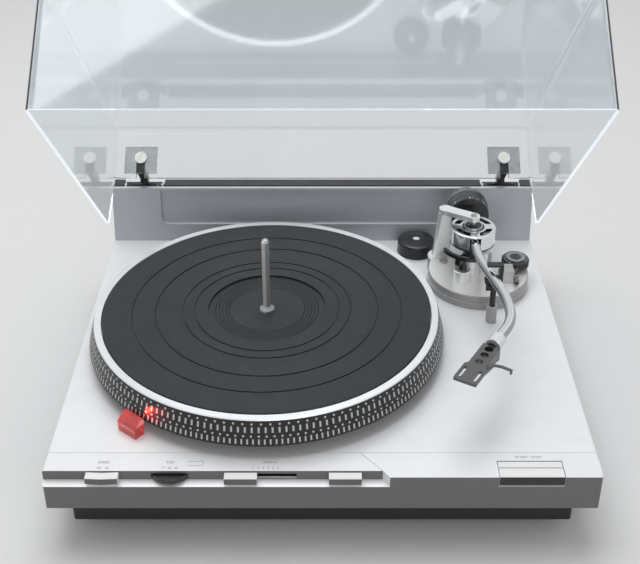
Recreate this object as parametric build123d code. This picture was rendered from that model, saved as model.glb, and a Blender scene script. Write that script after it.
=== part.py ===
from build123d import *
import math
import os

# Turntable with a changer spindle, an S-shaped tonearm and a hinged clear cover.
# Millimetres, +X right, +Y back, +Z up, origin under the middle of the whole part, its open cover included,
# on the plane of the feet.

# Plinth
plinth_width = 430.0
plinth_depth = 380.0
origin_back = 194.87
foot_height = 12.0
tray_height = 28.0
casing_height = 32.0
wall = 3.0
corner_radius = 2.5
edge_round = 1.2
strip_depth = 27.0
seam = 0.4
deck_top = foot_height + tray_height + casing_height

# Front ledge with its keys
ledge_depth = 6.8
ledge_drop = 8.5
ledge_fall = 1.5
ledge_end_x = 46.4
ledge_end_slant = 6.0
strip_wall = 2.5
cap_width = 25.0
cap_reach = 1.0
cap_sunk = 0.8
cap_height = 6.2
cap_gap = 0.5
rocker_x = -plinth_width / 2 + 46.2
size_wheel_x = rocker_x + 51.3
slider_x = size_wheel_x + 54.9
slider_travel = 38.0
reject_x = 17.5
stem_width = 9.0
stem_thick = 3.0
stem_sunk = 3.2
stem_gap = 0.35
strip_lugs = (-plinth_width / 2 + 25.0, -30.0, 90.0)
rocker_pin_radius = 1.8
rocker_pin_height = -5.2
size_wheel_radius = 17.0
size_wheel_thick = 4.4
size_wheel_sunk = 3.5
size_wheel_axle = 2.2
start_key_x = plinth_width / 2 - 54.7
start_key_width = 49.8
start_key_depth = 17.5
start_key_height = 8.0
key_gap = 0.5
start_key_travel = 1.4
start_key_crease = 9.7
key_proud = 0.0
key_wire_radius = 1.0
key_wire_bite = 2.0
key_wire_behind = 2.5
key_wire_height = -4.0
reject_travel = 1.0

# Base tray and feet
tray_inset = 16.0
tray_flange = 5.0
tray_bevel = 11.0
tray_lip = 3.0
foot_radius = 21.0
foot_inset_side = 50.0
foot_inset_front = 48.0
screw_head_radius = 3.6
screw_head_height = 2.2
screw_shank_radius = 1.7
board_at = (60.0, 205.0)
board_size = (130.0, 84.0)
board_height = -46.0
board_thick = 1.6
transformer_at = (130.0, 92.0)
transformer_size = (58.0, 46.0, 36.0)
gland_x = 150.0
gland_height = -50.2
gland_radius = 4.5

# Rear wall and hinge housing
rear_foot = plinth_depth - 32.0
rear_lean = 10.0
rear_height = 56.0
fascia_thick = 6.0
fascia_recess = 3.2
recess_left = -plinth_width / 2 + 50.0
recess_right = plinth_width / 2 - 87.0
recess_low = 18.0
recess_margin = 3.0
rear_inset = 1.0
housing_wall = 2.5

# Platter
platter_x = -49.0
platter_back = 178.5
platter_top_radius = 151.0
platter_low_radius = 157.0
platter_low = 11.3
platter_rim_top = 33.0
mat_radius = 144.5
mat_thick = 4.0
mat_proud = 0.5
label_radius = 52.0
label_sunk = 2.0
mat_hole_radius = 7.0
hub_radius = 16.0
shaft_radius = 6.0
fit = 0.05
spindle_radius = 3.5
spindle_top = 104.0
spindle_boss_radius = 6.5
spindle_shank_radius = 2.95
magnet_inner = 36.0
magnet_outer = 52.0
magnet_height = 10.0
coil_count = 9
motor_opening = 56.0
bearing_radius = 13.0
bearing_depth = 30.0
mat_grooves = (64.0, 74.0, 98.0, 118.5)

# Tonearm
pivot_x = 142.0
pivot_back = 267.0
arm_height = 56.5
arm_base_x = 150.5
arm_base_back = 271.5
arm_base_radius = 49.0
arm_base_top = 13.5
arm_base_step = 1.0
ring_radius = 21.2
ring_low = arm_height - 6.5
ring_high = arm_height + 8.0
ring_wall = 2.2
ring_top = 1.5
ring_mouth = 10.4
tube_radius = 4.5
tube_bore = 3.5
tube_straight = 29.0
out_bend_radius = 104.0
out_bend_angle = 14.5
middle_run = 36.7
slow_bend_radius = 130.0
slow_bend_angle = 17.0
tight_bend_radius = 55.0
offset_heading = 31.0
arm_hub_radius = 9.0
pivot_pin_radius = 1.5
rear_shaft_radius = 4.0
weight_radius = 20.0
weight_front = 38.5
weight_length = 14.0
weight_knob_radius = 13.2
weight_knob_length = 16.0
dial_length = 6.0
dial_gap = 0.3
sleeve_radius = 9.0
weight_bore = 9.05

# Headshell, measured from its front edge
shell_length = 53.0
shell_front_half = 9.7
shell_body_half = 7.35
shell_ear_length = 20.8
shell_plate = 2.6
shell_deep = 12.0
shell_top_above = 2.0
slot_spacing = 12.7
slot_width = 2.8
slot_start = 3.6
slot_length = 14.0
shell_holes = ((47.0, 3.6), (38.4, 3.2), (28.2, 3.1))
tail_run = 19.8
plug_length = 7.8
collar_radius = 6.7
collar_length = 12.0
plug_radius = 4.5
plug_gap = 0.4

# Arch bracket over the pivot
arch_foot = (117.5, 297.0)
arch_top = (117.0, 281.5)
arch_low = arm_height + 15.0
arch_thick = 4.5
arch_width = 11.0
pivot_screw_radius = 3.0
pillar_radius = 8.5
pillar_top = arm_height - 24.5
bias_post = (156.2, 270.5)
bias_post_radius = 6.2
bias_post_top = 36.0

# Lifter, rest, cue lever and bias knob
lifter_at = (132.8, 252.6)
lifter_radius = 8.5
lifter_top = 26.5
lift_bar_radius = 28.5
lift_bar_top = arm_height - 9.5
lift_bar_width = 3.0
lift_bar_sweep = (-7.0, 70.0)
rest_at = (155.0, 205.0)
rest_post_radius = 5.0
rest_post_top = 18.0
rest_rod_radius = 2.7
clip_back = 197.0
clip_length = 6.4
clip_gap = 0.3
clip_right = 160.5
clip_finger_tip = 145.0
cue_at = (176.0, 253.5)
cue_width = 10.5
cue_depth = 13.0
cue_top = 28.0
bias_at = (186.5, 275.5)
bias_radius = 12.9
bias_low = 17.0
bias_high = 24.5
bias_neck_radius = 7.5

# Adapter for wide-hole records and the strobe lamp
adapter_at = (95.0, plinth_depth - 51.2)
adapter_radius = 18.6
adapter_height = 14.5
adapter_round = 2.2
adapter_recess = 2.0
adapter_bore = 3.6
prism_at = (-153.0, 52.2)
prism_width = 20.0
prism_depth = 10.0
prism_height = 15.0
prism_turn = -39.4

# Dust cover, described closed
cover_front = 14.5
cover_half_width = plinth_width / 2 - 4.0
cover_lift = 0.8
cover_height = 108.0
cover_wall = 3.0
cover_front_lean = 10.5
cover_side_foot = plinth_depth - 56.5
cover_rear_low = 52.8
cover_rear_back = plinth_depth - 35.5
cover_rear_lean = 3.0
cover_round = 7.0
cover_open = 45.4
hinge_x = cover_half_width - 28.5
hinge_back = plinth_depth - 11.0
hinge_height = 52.6
hinge_pin_radius = 2.5
hinge_barrel_radius = 4.4
hinge_ear = 3.0
hinge_span = 35.4
hinge_arm_width = 8.0
hinge_plate_width = 32.0
hinge_plate_low = 57.0
hinge_plate_high = 85.0
hinge_arm_low = 59.0
hinge_arm_thick = 5.0
hinge_pocket_floor = 38.0
hinge_pocket_front = plinth_depth - 17.5
cover_screw_height = 73.0
cover_screw_radius = 6.0


def at(x, back, z):
    """A place given from the plinth's middle, its front face and the deck's top."""
    return Pos(x, back - origin_back, deck_top + z)


def block(x0, x1, back0, back1, z0, z1):
    """A box between two corners given the same way."""
    middle = at((x0 + x1) / 2, (back0 + back1) / 2, (z0 + z1) / 2)
    return middle * Box(x1 - x0, back1 - back0, z1 - z0)


def post(x, back, z0, z1, radius):
    """An upright cylinder from z0 to z1."""
    return at(x, back, (z0 + z1) / 2) * Cylinder(radius, z1 - z0)


def turned(profile, x, back):
    """A body of revolution about an upright axis, its profile as (radius, height) pairs."""
    face = make_face(Polyline(*[(r, 0, z) for r, z in profile], close=True))
    return at(x, back, 0) * revolve(face, Axis.Z)


def side_shape(points, x0, x1):
    """A prism across the plinth, its outline as (back, height) pairs."""
    face = make_face(Polyline(*[(x0, b - origin_back, deck_top + z) for b, z in points], close=True))
    return extrude(face, amount=x1 - x0, dir=(1, 0, 0))


def shape_group(shapes):
    """Several separate solids in one node."""
    return Compound(children=shapes)


def top_edges(solid):
    return solid.faces().sort_by(Axis.Z)[-1].edges()


# Where the ledge's surface lies at a distance behind the front face
def ledge_at(back):
    return -ledge_drop - ledge_fall * (1 - back / ledge_depth)


def plinth_casing():
    """The silver deck with its side and rear walls, open below."""
    half = plinth_width / 2
    front = strip_depth + seam
    deck = block(-half, half, front, plinth_depth, -casing_height, 0)
    deck = fillet(deck.edges().filter_by(Axis.Z).group_by(Axis.Y)[-1], corner_radius)
    deck = fillet(top_edges(deck).filter_by(Axis.Y), edge_round)
    deck -= block(-half + wall, half - wall, front - 1, plinth_depth - wall, -casing_height - 1, -wall)
    deck -= post(platter_x, platter_back, -wall - 1, 1, motor_opening)
    deck -= post(pivot_x, pivot_back, -wall - 1, 1, pillar_radius)
    deck += post(*adapter_at, -wall - adapter_recess, -wall + 0.5, adapter_radius + wall)
    deck -= post(*adapter_at, -adapter_recess, 1, adapter_radius + cap_gap)
    deck += post(*adapter_at, -adapter_recess - 0.5, adapter_height - 0.6, adapter_bore - 2 * fit)
    for x in strip_lugs:
        deck += block(x - 8, x + 8, strip_depth - 7, strip_depth + 8, -2 * wall, -strip_wall)
    for x, back in tray_screw_places():
        deck += post(x, back, -casing_height, -wall + 0.5, 2 * screw_shank_radius + 1.2)
        deck -= post(x, back, -casing_height - 1, -casing_height + 14, screw_shank_radius)
    return deck


def tray_screw_places():
    """Where the tray is screwed up into the deck."""
    x = plinth_width / 2 - tray_inset - 12
    return [(x, 60), (-x, 60), (x, plinth_depth - 60), (-x, plinth_depth - 60), (0, plinth_depth - 30)]


def strip_end_cut():
    """Plan outline of the ledge, with its slanting right end."""
    left = -plinth_width / 2 - 1
    corners = [
        (left, -1 - origin_back),
        (ledge_end_x + ledge_end_slant, -1 - origin_back),
        (ledge_end_x, ledge_depth - origin_back),
        (left, ledge_depth - origin_back),
    ]
    return make_face(Polyline(*[(x, y, 0) for x, y in corners], close=True))


def front_strip():
    """The front panel with its lowered ledge, slots and key recess."""
    half = plinth_width / 2
    strip = block(-half, half, 0, strip_depth, -casing_height, 0)
    strip = fillet(strip.edges().filter_by(Axis.Z).group_by(Axis.Y)[0], corner_radius)
    strip = fillet(top_edges(strip).filter_by(Axis.X).sort_by(Axis.Y)[:1], edge_round)
    ledge = Pos(0, 0, deck_top - 40) * extrude(strip_end_cut(), amount=41)
    slope = side_shape([(-1, ledge_at(-1)), (ledge_depth, ledge_at(ledge_depth)), (ledge_depth, 1), (-1, 1)],
                       -half - 1, ledge_end_x + ledge_end_slant + 1)
    strip -= ledge & slope
    low = ledge_at(0) - strip_wall
    hollow = [
        (strip_wall, -casing_height - 1),
        (strip_wall, low),
        (ledge_depth + strip_wall, low),
        (ledge_depth + strip_wall, -strip_wall),
        (strip_depth + 1, -strip_wall),
        (strip_depth + 1, -casing_height - 1),
    ]
    strip -= side_shape(hollow, -half + strip_wall, half - strip_wall)
    strip -= post(size_wheel_x, size_wheel_radius, -size_wheel_sunk - size_wheel_thick - cap_gap,
                  -strip_wall, size_wheel_radius + cap_gap) & block(
        -half, half, ledge_depth - 0.01, strip_depth, -casing_height, 0)
    strip += post(size_wheel_x, size_wheel_radius, -size_wheel_sunk - size_wheel_thick - 4,
                  -strip_wall + 0.2, size_wheel_axle)
    strip -= rocker_pin(ledge_depth - 1, ledge_depth + strip_wall + 1, rocker_pin_radius + fit)
    wide = stem_width / 2 + stem_gap
    for x, reach in ((slider_x, slider_travel), (reject_x, 0)):
        strip -= block(x - wide, x + wide + reach, ledge_depth - 1, ledge_depth + strip_wall + 1,
                       -stem_sunk - stem_thick - stem_gap - reject_travel, -stem_sunk + stem_gap)
    recess = start_key_height + start_key_travel + key_gap
    reach = start_key_width / 2 + key_gap
    strip += block(start_key_x - reach - strip_wall, start_key_x + reach + strip_wall, strip_wall - 0.5,
                   start_key_depth + key_gap + strip_wall, -recess - strip_wall, -strip_wall + 0.5)
    strip -= block(start_key_x - reach, start_key_x + reach, -1, start_key_depth + key_gap, -recess, 1)
    strip -= start_key_axle(key_wire_radius + fit, start_key_width / 2 + key_gap + key_wire_bite)
    return strip


def start_key_axle(radius, reach):
    """A rod along the line that the start key tilts on."""
    place = at(start_key_x, start_key_depth - key_wire_behind, key_wire_height)
    return place * Rot(0, 90, 0) * Cylinder(radius, 2 * reach)


def start_key_wire():
    return start_key_axle(key_wire_radius, start_key_width / 2 + key_gap + key_wire_bite)


def start_key():
    """The wide start and stop key, hollow below, with its two pivot lugs at the back."""
    half = start_key_width / 2
    key = block(start_key_x - half, start_key_x + half, 0, start_key_depth, -start_key_height, key_proud)
    key = fillet(top_edges(key), edge_round / 2)
    key -= block(start_key_x - half + 2, start_key_x + half - 2, 2, start_key_depth - 2 * key_wire_behind,
                 -start_key_height - 1, -2)
    key -= block(start_key_x - half - 1, start_key_x + half + 1, start_key_crease, start_key_crease + 0.8,
                 key_proud - 0.5, key_proud + 1)
    key -= start_key_axle(key_wire_radius + fit, half + 1)
    return key


def key_cap(x):
    """A small cap standing over the ledge, with the stem that goes in through the riser."""
    half = cap_width / 2
    low = -cap_sunk - cap_height
    cap = block(x - half, x + half, -cap_reach, ledge_depth - cap_gap, low, -cap_sunk)
    cap = chamfer(cap.edges().filter_by(Axis.X).group_by(Axis.Z)[-1], 0.5)
    stem = block(x - stem_width / 2, x + stem_width / 2, ledge_depth - cap_gap - 0.5,
                 ledge_depth + strip_wall + 4, -stem_sunk - stem_thick, -stem_sunk)
    lug = block(x - stem_width / 2 - 1, x + stem_width / 2 + 1, ledge_depth + strip_wall + stem_gap,
                ledge_depth + strip_wall + 4, -stem_sunk - stem_thick - 2, -stem_sunk - 0.2)
    return cap + stem + lug


def speed_rocker():
    """The two-speed rocker, with a shallow dip across its top and a belly that lets it tip."""
    half = cap_width / 2
    low = -cap_sunk - cap_height
    outline = [
        (-half, -cap_sunk),
        (-1.5, -cap_sunk - 0.5),
        (1.5, -cap_sunk - 0.5),
        (half, -cap_sunk),
        (half, low + 1.0),
        (1.0, low),
        (-1.0, low),
        (-half, low + 1.0),
    ]
    corners = [(rocker_x + dx, -cap_reach - origin_back, deck_top + z) for dx, z in outline]
    face = make_face(Polyline(*corners, close=True))
    cap = extrude(face, amount=ledge_depth - cap_gap + cap_reach, dir=(0, 1, 0))
    inside = ledge_depth + strip_wall + stem_gap
    pin = rocker_pin(ledge_depth - cap_gap - 0.5, inside + 0.5, rocker_pin_radius)
    head = rocker_pin(inside, inside + 2.5, rocker_pin_radius + 0.7)
    return cap + pin + head


def rocker_pin(back0, back1, radius):
    """A cylinder along the line that the speed rocker tips on."""
    middle = at(rocker_x, (back0 + back1) / 2, rocker_pin_height)
    return middle * Rot(90, 0, 0) * Cylinder(radius, back1 - back0)


def size_wheel():
    """The thumbwheel for the record size, lying flat behind the ledge."""
    high = -size_wheel_sunk
    low = high - size_wheel_thick
    wheel = post(size_wheel_x, size_wheel_radius, low, high, size_wheel_radius)
    wheel = chamfer(wheel.edges().filter_by(GeomType.CIRCLE), 0.5)
    wheel -= post(size_wheel_x, size_wheel_radius, low - 1, high + 1, size_wheel_axle + fit)
    return wheel


def tray_body(inset, low):
    """The tray's bevelled block, used for its outside and for its hollow."""
    bevel_low = -casing_height - tray_bevel
    lip_low = -casing_height - tray_lip
    narrow = tray_plan(tray_inset + inset)
    broad = tray_plan(tray_flange + inset)
    lower = tray_level(low) * extrude(narrow, amount=bevel_low - low)
    flare = loft([tray_level(bevel_low) * narrow, tray_level(lip_low) * broad])
    return lower + flare + tray_level(lip_low) * extrude(broad, amount=tray_lip)


def tray_plan(inset):
    return RectangleRounded(plinth_width - 2 * inset, plinth_depth - 2 * inset, corner_radius)


def tray_level(z):
    return at(0, plinth_depth / 2, z)


def base_tray():
    """The black bottom tray with its bevelled shoulder and the pillars for the board."""
    low = -casing_height - tray_height
    tray = tray_body(0, low) - tray_body(wall, low + wall)
    for x, back in tray_screw_places():
        tray += post(x, back, low + 1, -casing_height, 2 * screw_shank_radius + 1.2)
        tray -= post(x, back, low - 1, -casing_height + 1, screw_shank_radius + 0.3)
        tray -= post(x, back, low - 1, low + screw_head_height + 0.6, screw_head_radius + 0.4)
    for x, back in board_pillars():
        tray += post(x, back, low + wall - 0.5, board_height, 3.0)
    for x in (-gland_x, gland_x):
        rear = plinth_depth - tray_inset
        tray -= gland_rod(x, rear - wall - 1, rear + 1, gland_radius)
    return tray


def gland_rod(x, back0, back1, radius):
    """A cylinder through the tray's rear wall where a cord comes out."""
    return at(x, (back0 + back1) / 2, gland_height) * Rot(90, 0, 0) * Cylinder(radius, back1 - back0)


def cord_glands():
    """The two rubber bushes in the tray's rear wall, for the mains and the signal cord."""
    outside = plinth_depth - tray_inset
    bushes = []
    for x in (-gland_x, gland_x):
        bush = gland_rod(x, outside - wall, outside, gland_radius)
        bush += gland_rod(x, outside - wall - 2, outside - wall, gland_radius + 1.4)
        bush += gland_rod(x, outside, outside + 2, gland_radius + 1.5)
        bush += gland_rod(x, outside + 2, outside + 9, gland_radius - 1.5)
        bush -= gland_rod(x, outside - wall - 3, outside + 10, 1.9)
        bushes.append(bush)
    return shape_group(bushes)


def transformer():
    """The mains transformer, its laminated core with the coil through it."""
    x, back = transformer_at
    wide, deep, high = transformer_size
    floor = -casing_height - tray_height + wall
    core = block(x - wide / 2, x + wide / 2, back - deep / 4, back + deep / 4, floor, floor + high)
    coil = block(x - wide / 4, x + wide / 4, back - deep / 2, back + deep / 2, floor + 5, floor + high - 5)
    return core + fillet(coil.edges().filter_by(Axis.X), 4.0)


def circuit_board():
    """The board that drives the motor, with its largest components."""
    x, back = board_at
    wide, deep = board_size
    top = board_height + board_thick
    board = block(x - wide / 2, x + wide / 2, back - deep / 2, back + deep / 2, board_height, top)
    board += block(x - 0.15 * wide, x + 0.06 * wide, back - 0.1 * deep, back + 0.05 * deep, top, top + 4)
    board += block(x + 0.23 * wide, x + 0.37 * wide, back + 0.21 * deep, back + 0.36 * deep, top, top + 9)
    for across, along, radius, high in ((-0.35, 0.14, 6.5, 20), (-0.23, 0.26, 5, 16), (0.17, -0.26, 5, 14)):
        board += post(x + across * wide, back + along * deep, top, top + high, radius)
    return board


def board_pillars():
    half = board_size[0] / 2 - 6
    deep = board_size[1] / 2 - 6
    return [(board_at[0] + sx * half, board_at[1] + sy * deep) for sx in (-1, 1) for sy in (-1, 1)]


def tray_screws():
    """The screws that hold the tray up to the deck."""
    low = -casing_height - tray_height + 0.3
    screws = []
    for x, back in tray_screw_places():
        shank = post(x, back, low + 1, -casing_height + 12, screw_shank_radius - fit)
        screws.append(shank + post(x, back, low, low + screw_head_height, screw_head_radius))
    return shape_group(screws)


def foot_places():
    x = plinth_width / 2 - foot_inset_side
    backs = (foot_inset_front, plinth_depth - foot_inset_front)
    return [(side * x, back) for side in (-1, 1) for back in backs]


def feet():
    """Four rubber feet, waisted so that they give under the plinth."""
    low = -casing_height - tray_height - foot_height
    profile = [
        (0, low),
        (foot_radius - 4, low),
        (foot_radius - 1, low + 1.5),
        (foot_radius - 1, low + 4),
        (foot_radius - 3, low + 6),
        (foot_radius, low + foot_height - 2.5),
        (foot_radius, low + foot_height),
        (0, low + foot_height),
    ]
    return shape_group([turned(profile, x, back) for x, back in foot_places()])


def rear_fascia():
    """The silver wall behind the platter, leaning back, with a wide shallow recess."""
    half = plinth_width / 2 - rear_inset
    length = math.hypot(rear_height, rear_lean)
    plate = Pos(0, fascia_thick / 2, length / 2) * Box(2 * half, fascia_thick, length)
    low = recess_low
    high = length - recess_margin
    middle = (recess_left + recess_right) / 2
    pocket = Pos(middle, 0, (low + high) / 2) * Box(recess_right - recess_left, 2 * fascia_recess, high - low)
    pocket = fillet(pocket.edges().filter_by(Axis.Y).group_by(Axis.Z)[0], 9.0)
    plate -= pocket
    lean = math.degrees(math.atan2(rear_lean, rear_height))
    plate = at(0, rear_foot, 0) * Rot(-lean, 0, 0) * plate
    plate &= block(-half - 1, half + 1, 0, plinth_depth, 0, rear_height)
    return plate


def rear_housing():
    """The black housing behind the rear wall, with two pockets for the hinges."""
    half = plinth_width / 2 - rear_inset
    slope = rear_lean / rear_height
    foot = rear_foot + fascia_thick * math.hypot(1, slope) + 0.2
    top = foot + rear_lean
    back = plinth_depth
    outer = [(foot, 0), (top, rear_height), (back, rear_height), (back, 0)]
    t = housing_wall
    inner = [
        (foot + t, -1),
        (foot + t + slope * (rear_height - t), rear_height - t),
        (back - t, rear_height - t),
        (back - t, -1),
    ]
    housing = side_shape(outer, -half, half)
    rear_edges = top_edges(housing).filter_by(Axis.X).sort_by(Axis.Y)[-1:]
    rear_edges += housing.edges().filter_by(Axis.Z).group_by(Axis.Y)[-1]
    housing = fillet(rear_edges, 4.0)
    hollow = side_shape(inner, -half + t, half - t)
    reach = hinge_span / 2 + hinge_ear
    for side in (-1, 1):
        x = side * hinge_x
        hollow -= block(x - reach - t, x + reach + t, foot, back + 1, hinge_pocket_floor - t, rear_height)
    housing -= hollow
    for side in (-1, 1):
        x = side * hinge_x
        housing -= block(x - reach, x + reach, hinge_pocket_front, back + 1,
                         hinge_pocket_floor, rear_height + 1)
    return housing


def hinge_holders():
    """A cradle in each pocket: a floor, two cheeks and the ears that hold the pin."""
    shapes = []
    front = rear_foot + fascia_thick + rear_lean + 1.5
    for side in (-1, 1):
        x = side * hinge_x
        reach = hinge_span / 2 + hinge_ear - 0.3
        cradle = block(x - reach, x + reach, front, plinth_depth - 0.5,
                       hinge_pocket_floor, hinge_pocket_floor + wall)
        for ear in (-1, 1):
            inner = x + ear * (hinge_span / 2 - hinge_ear)
            outer = x + ear * hinge_span / 2
            lo, hi = min(inner, outer), max(inner, outer)
            cradle += block(lo, hi, front, plinth_depth - 2, hinge_pocket_floor, hinge_height)
            cradle += hinge_rod(lo, hi, hinge_barrel_radius)
        cradle -= hinge_rod(x - reach, x + reach, hinge_pin_radius + fit)
        shapes.append(cradle)
    return shape_group(shapes)


def hinge_rod(x0, x1, radius):
    """A cylinder along the cover's hinge line."""
    return at((x0 + x1) / 2, hinge_back, hinge_height) * Rot(0, 90, 0) * Cylinder(radius, x1 - x0)


def hinge_pins():
    """The two pins, with the light heads that show beside the ears."""
    pins = []
    for side in (-1, 1):
        x = side * hinge_x
        half = hinge_span / 2
        pin = hinge_rod(x - half, x + half, hinge_pin_radius)
        for end in (-1, 1):
            near = x + end * half
            far = x + end * (half + 1.8)
            pin += hinge_rod(min(near, far), max(near, far), hinge_pin_radius + 0.7)
        pins.append(pin)
    return shape_group(pins)


def platter():
    """The cast platter with its hub, its slanting rim band and the ribs below."""
    mat_floor = platter_rim_top - mat_proud - 3
    profile = [
        (shaft_radius + fit, 10.0),
        (hub_radius, 10.0),
        (hub_radius, mat_floor - 4),
        (platter_top_radius - 4.5, mat_floor - 4),
        (platter_low_radius - 4.2, platter_low),
        (platter_low_radius, platter_low),
        (platter_top_radius + 0.6, platter_rim_top - 1),
        (platter_top_radius, platter_rim_top),
        (mat_radius + 0.8, platter_rim_top),
        (mat_radius + 0.5, platter_rim_top - 0.4),
        (mat_radius + 0.5, mat_floor),
        (shaft_radius + fit, mat_floor),
    ]
    disc = turned(profile, platter_x, platter_back)
    for n in range(8):
        rib = Pos(100, 0, mat_floor - 6.5) * Box(91, 3, 6)
        disc += at(platter_x, platter_back, 0) * Rot(0, 0, 45 * n) * rib
    return disc


def platter_mat():
    """The rubber mat, with the sunk label and the bare rings between its ribbed zones."""
    floor = platter_rim_top - mat_proud - 3
    top = floor + mat_thick
    profile = [
        (mat_hole_radius, floor),
        (mat_radius, floor),
        (mat_radius, top - 0.6),
        (mat_radius - 0.6, top),
    ]
    for radius in reversed(mat_grooves):
        outer, inner = radius + 0.7, radius - 0.7
        profile += [(outer, top), (outer, top - 0.8), (inner, top - 0.8), (inner, top)]
    sunk = top - label_sunk
    profile += [(label_radius, top), (label_radius, sunk)]
    for radius in (46, 43, 40, 37, 34):
        profile += [(radius, sunk), (radius - 0.5, sunk - 0.5), (radius - 1, sunk)]
    profile.append((mat_hole_radius, sunk))
    return turned(profile, platter_x, platter_back)


def rotor_magnet():
    top = platter_rim_top - mat_proud - 7
    low = top - magnet_height
    profile = [(magnet_inner, low), (magnet_outer, low), (magnet_outer, top), (magnet_inner, top)]
    return turned(profile, platter_x, platter_back)


def motor_shaft():
    """The platter's steel shaft, bored to take a spindle."""
    shaft = post(platter_x, platter_back, -bearing_depth + 4, platter_rim_top - 2, shaft_radius)
    return shaft - post(platter_x, platter_back, 6, platter_rim_top, spindle_shank_radius + fit)


def changer_spindle():
    """The tall lift-out spindle that stacks records, with its catch near the top."""
    seat = platter_rim_top - 2
    profile = [
        (0, 8),
        (spindle_shank_radius, 8),
        (spindle_shank_radius, seat),
        (spindle_boss_radius, seat),
        (spindle_boss_radius, seat + 2),
        (spindle_radius + 0.6, seat + 4),
        (spindle_radius, seat + 4.5),
        (spindle_radius, spindle_top - 3),
        (spindle_radius - 1.2, spindle_top - 0.6),
        (0, spindle_top),
    ]
    spindle = turned(profile, platter_x, platter_back)
    slot = block(platter_x - 0.6, platter_x + 4, platter_back - 0.7, platter_back + 0.7, 84, 97)
    catch = block(platter_x - 0.6, platter_x + 3.9, platter_back - 0.6, platter_back + 0.6, 86, 91)
    return spindle - slot + catch


def motor_stator():
    """The motor's plate below the deck."""
    low = -wall - 3
    ring = post(platter_x, platter_back, low, -wall, motor_opening + 6)
    return ring - post(platter_x, platter_back, low - 1, 0, bearing_radius + fit)


def stator_coils():
    """The flat coils in a ring round the bearing."""
    coils = []
    middle = (magnet_inner + magnet_outer) / 2 - 7
    for n in range(coil_count):
        angle = math.radians(360 * n / coil_count)
        x = platter_x + middle * math.cos(angle)
        back = platter_back + middle * math.sin(angle)
        coils.append(post(x, back, -wall, 6, 11.0) - post(x, back, -wall - 1, 7, 4.0))
    return shape_group(coils)


def bearing_housing():
    """The bearing tube that the shaft turns in, closed below."""
    low = -bearing_depth - 3
    housing = post(platter_x, platter_back, low, 5, bearing_radius)
    housing += post(platter_x, platter_back, -wall - 5, -wall - 3, bearing_radius + 6)
    return housing - post(platter_x, platter_back, -bearing_depth + 4, 6, shaft_radius + fit)


def adapter_45():
    """The lift-out centre for wide-hole records, standing in its recess."""
    low = -adapter_recess
    profile = [
        (adapter_bore, low),
        (adapter_radius, low),
        (adapter_radius, adapter_height - adapter_round - 1),
        (adapter_radius - 0.3 * adapter_round, adapter_height - 0.3 * adapter_round - 1),
        (adapter_radius - adapter_round, adapter_height - 1),
        (2 * adapter_bore, adapter_height),
        (adapter_bore, adapter_height),
    ]
    return turned(profile, *adapter_at)


def strobe_prism():
    """The red lamp window beside the platter's band."""
    half = prism_width / 2
    deep = prism_depth / 2
    side = [(-deep, 0), (deep, 0), (deep, prism_height), (deep - 3, prism_height), (-deep, prism_height - 6)]
    face = make_face(Polyline(*[(-half, y, z) for y, z in side], close=True))
    window = extrude(face, amount=prism_width, dir=(1, 0, 0))
    return at(*prism_at, 0) * Rot(0, 0, prism_turn) * window


def tonearm_base():
    """The two-tier disc that carries everything of the tonearm."""
    middle = arm_base_top / 2
    profile = [
        (0, 0),
        (arm_base_radius, 0),
        (arm_base_radius, middle - 0.3),
        (arm_base_radius - 1.6, middle - 0.3),
        (arm_base_radius - 1.6, middle + 0.3),
        (arm_base_radius - arm_base_step, middle + 0.3),
        (arm_base_radius - arm_base_step, arm_base_top - 0.8),
        (arm_base_radius - arm_base_step - 0.8, arm_base_top),
        (0, arm_base_top),
    ]
    disc = turned(profile, arm_base_x, arm_base_back)
    disc += post(*arch_foot, 0, arm_base_top, 13.5)
    return disc - post(pivot_x, pivot_back, -1, arm_base_top + 1, 4.0)


def pivot_pillar():
    """The pillar under the pivot, grown together with the post beside it."""
    pillar = post(pivot_x, pivot_back, arm_base_top, pillar_top, pillar_radius)
    pillar += post(*bias_post, arm_base_top, bias_post_top, bias_post_radius)
    return pillar - post(pivot_x, pivot_back, arm_base_top - 1, pillar_top + 1, 4.0)


def pivot_neck():
    """The black bearing sleeve that the gimbal turns in."""
    neck = post(pivot_x, pivot_back, pillar_top, ring_low - 4, 7.5)
    return neck - post(pivot_x, pivot_back, pillar_top - 1, ring_low, pivot_screw_radius + fit)


def gimbal_yoke():
    """The turning plate under the ring, with its shaft."""
    profile = [
        (0, pillar_top + 2),
        (pivot_screw_radius, pillar_top + 2),
        (pivot_screw_radius, ring_low - 3.7),
        (16, ring_low - 3.7),
        (16, ring_low - 1.4),
        (ring_radius, ring_low - 1.4),
        (ring_radius, ring_low),
        (0, ring_low),
    ]
    return turned(profile, pivot_x, pivot_back)


def gimbal_ring():
    """The bright ring round the pivot, slotted on top and open at front and back."""
    inside = ring_high - ring_top
    ring = post(pivot_x, pivot_back, ring_low, ring_high, ring_radius)
    ring = fillet(top_edges(ring), 0.8)
    ring -= post(pivot_x, pivot_back, ring_low - 1, inside, ring_radius - ring_wall)
    ring += post(pivot_x, pivot_back, inside, ring_high + 1.7, 8.5)
    mouth = block(pivot_x - ring_mouth / 2, pivot_x + ring_mouth / 2, pivot_back - ring_radius - 1,
                  pivot_back + ring_radius + 1, ring_low + 1, inside)
    ring -= mouth
    outer = post(pivot_x, pivot_back, inside - 0.5, ring_high + 1, 18)
    slots = outer - post(pivot_x, pivot_back, inside - 1, ring_high + 2, 12.5)
    for angle in (0, 90):
        bar = Rot(0, 0, angle) * Box(50, 9, 8)
        slots -= at(pivot_x, pivot_back, ring_high) * bar
    ring -= slots
    return ring - gimbal_rod(ring_radius + 1, pivot_pin_radius + fit)


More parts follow.
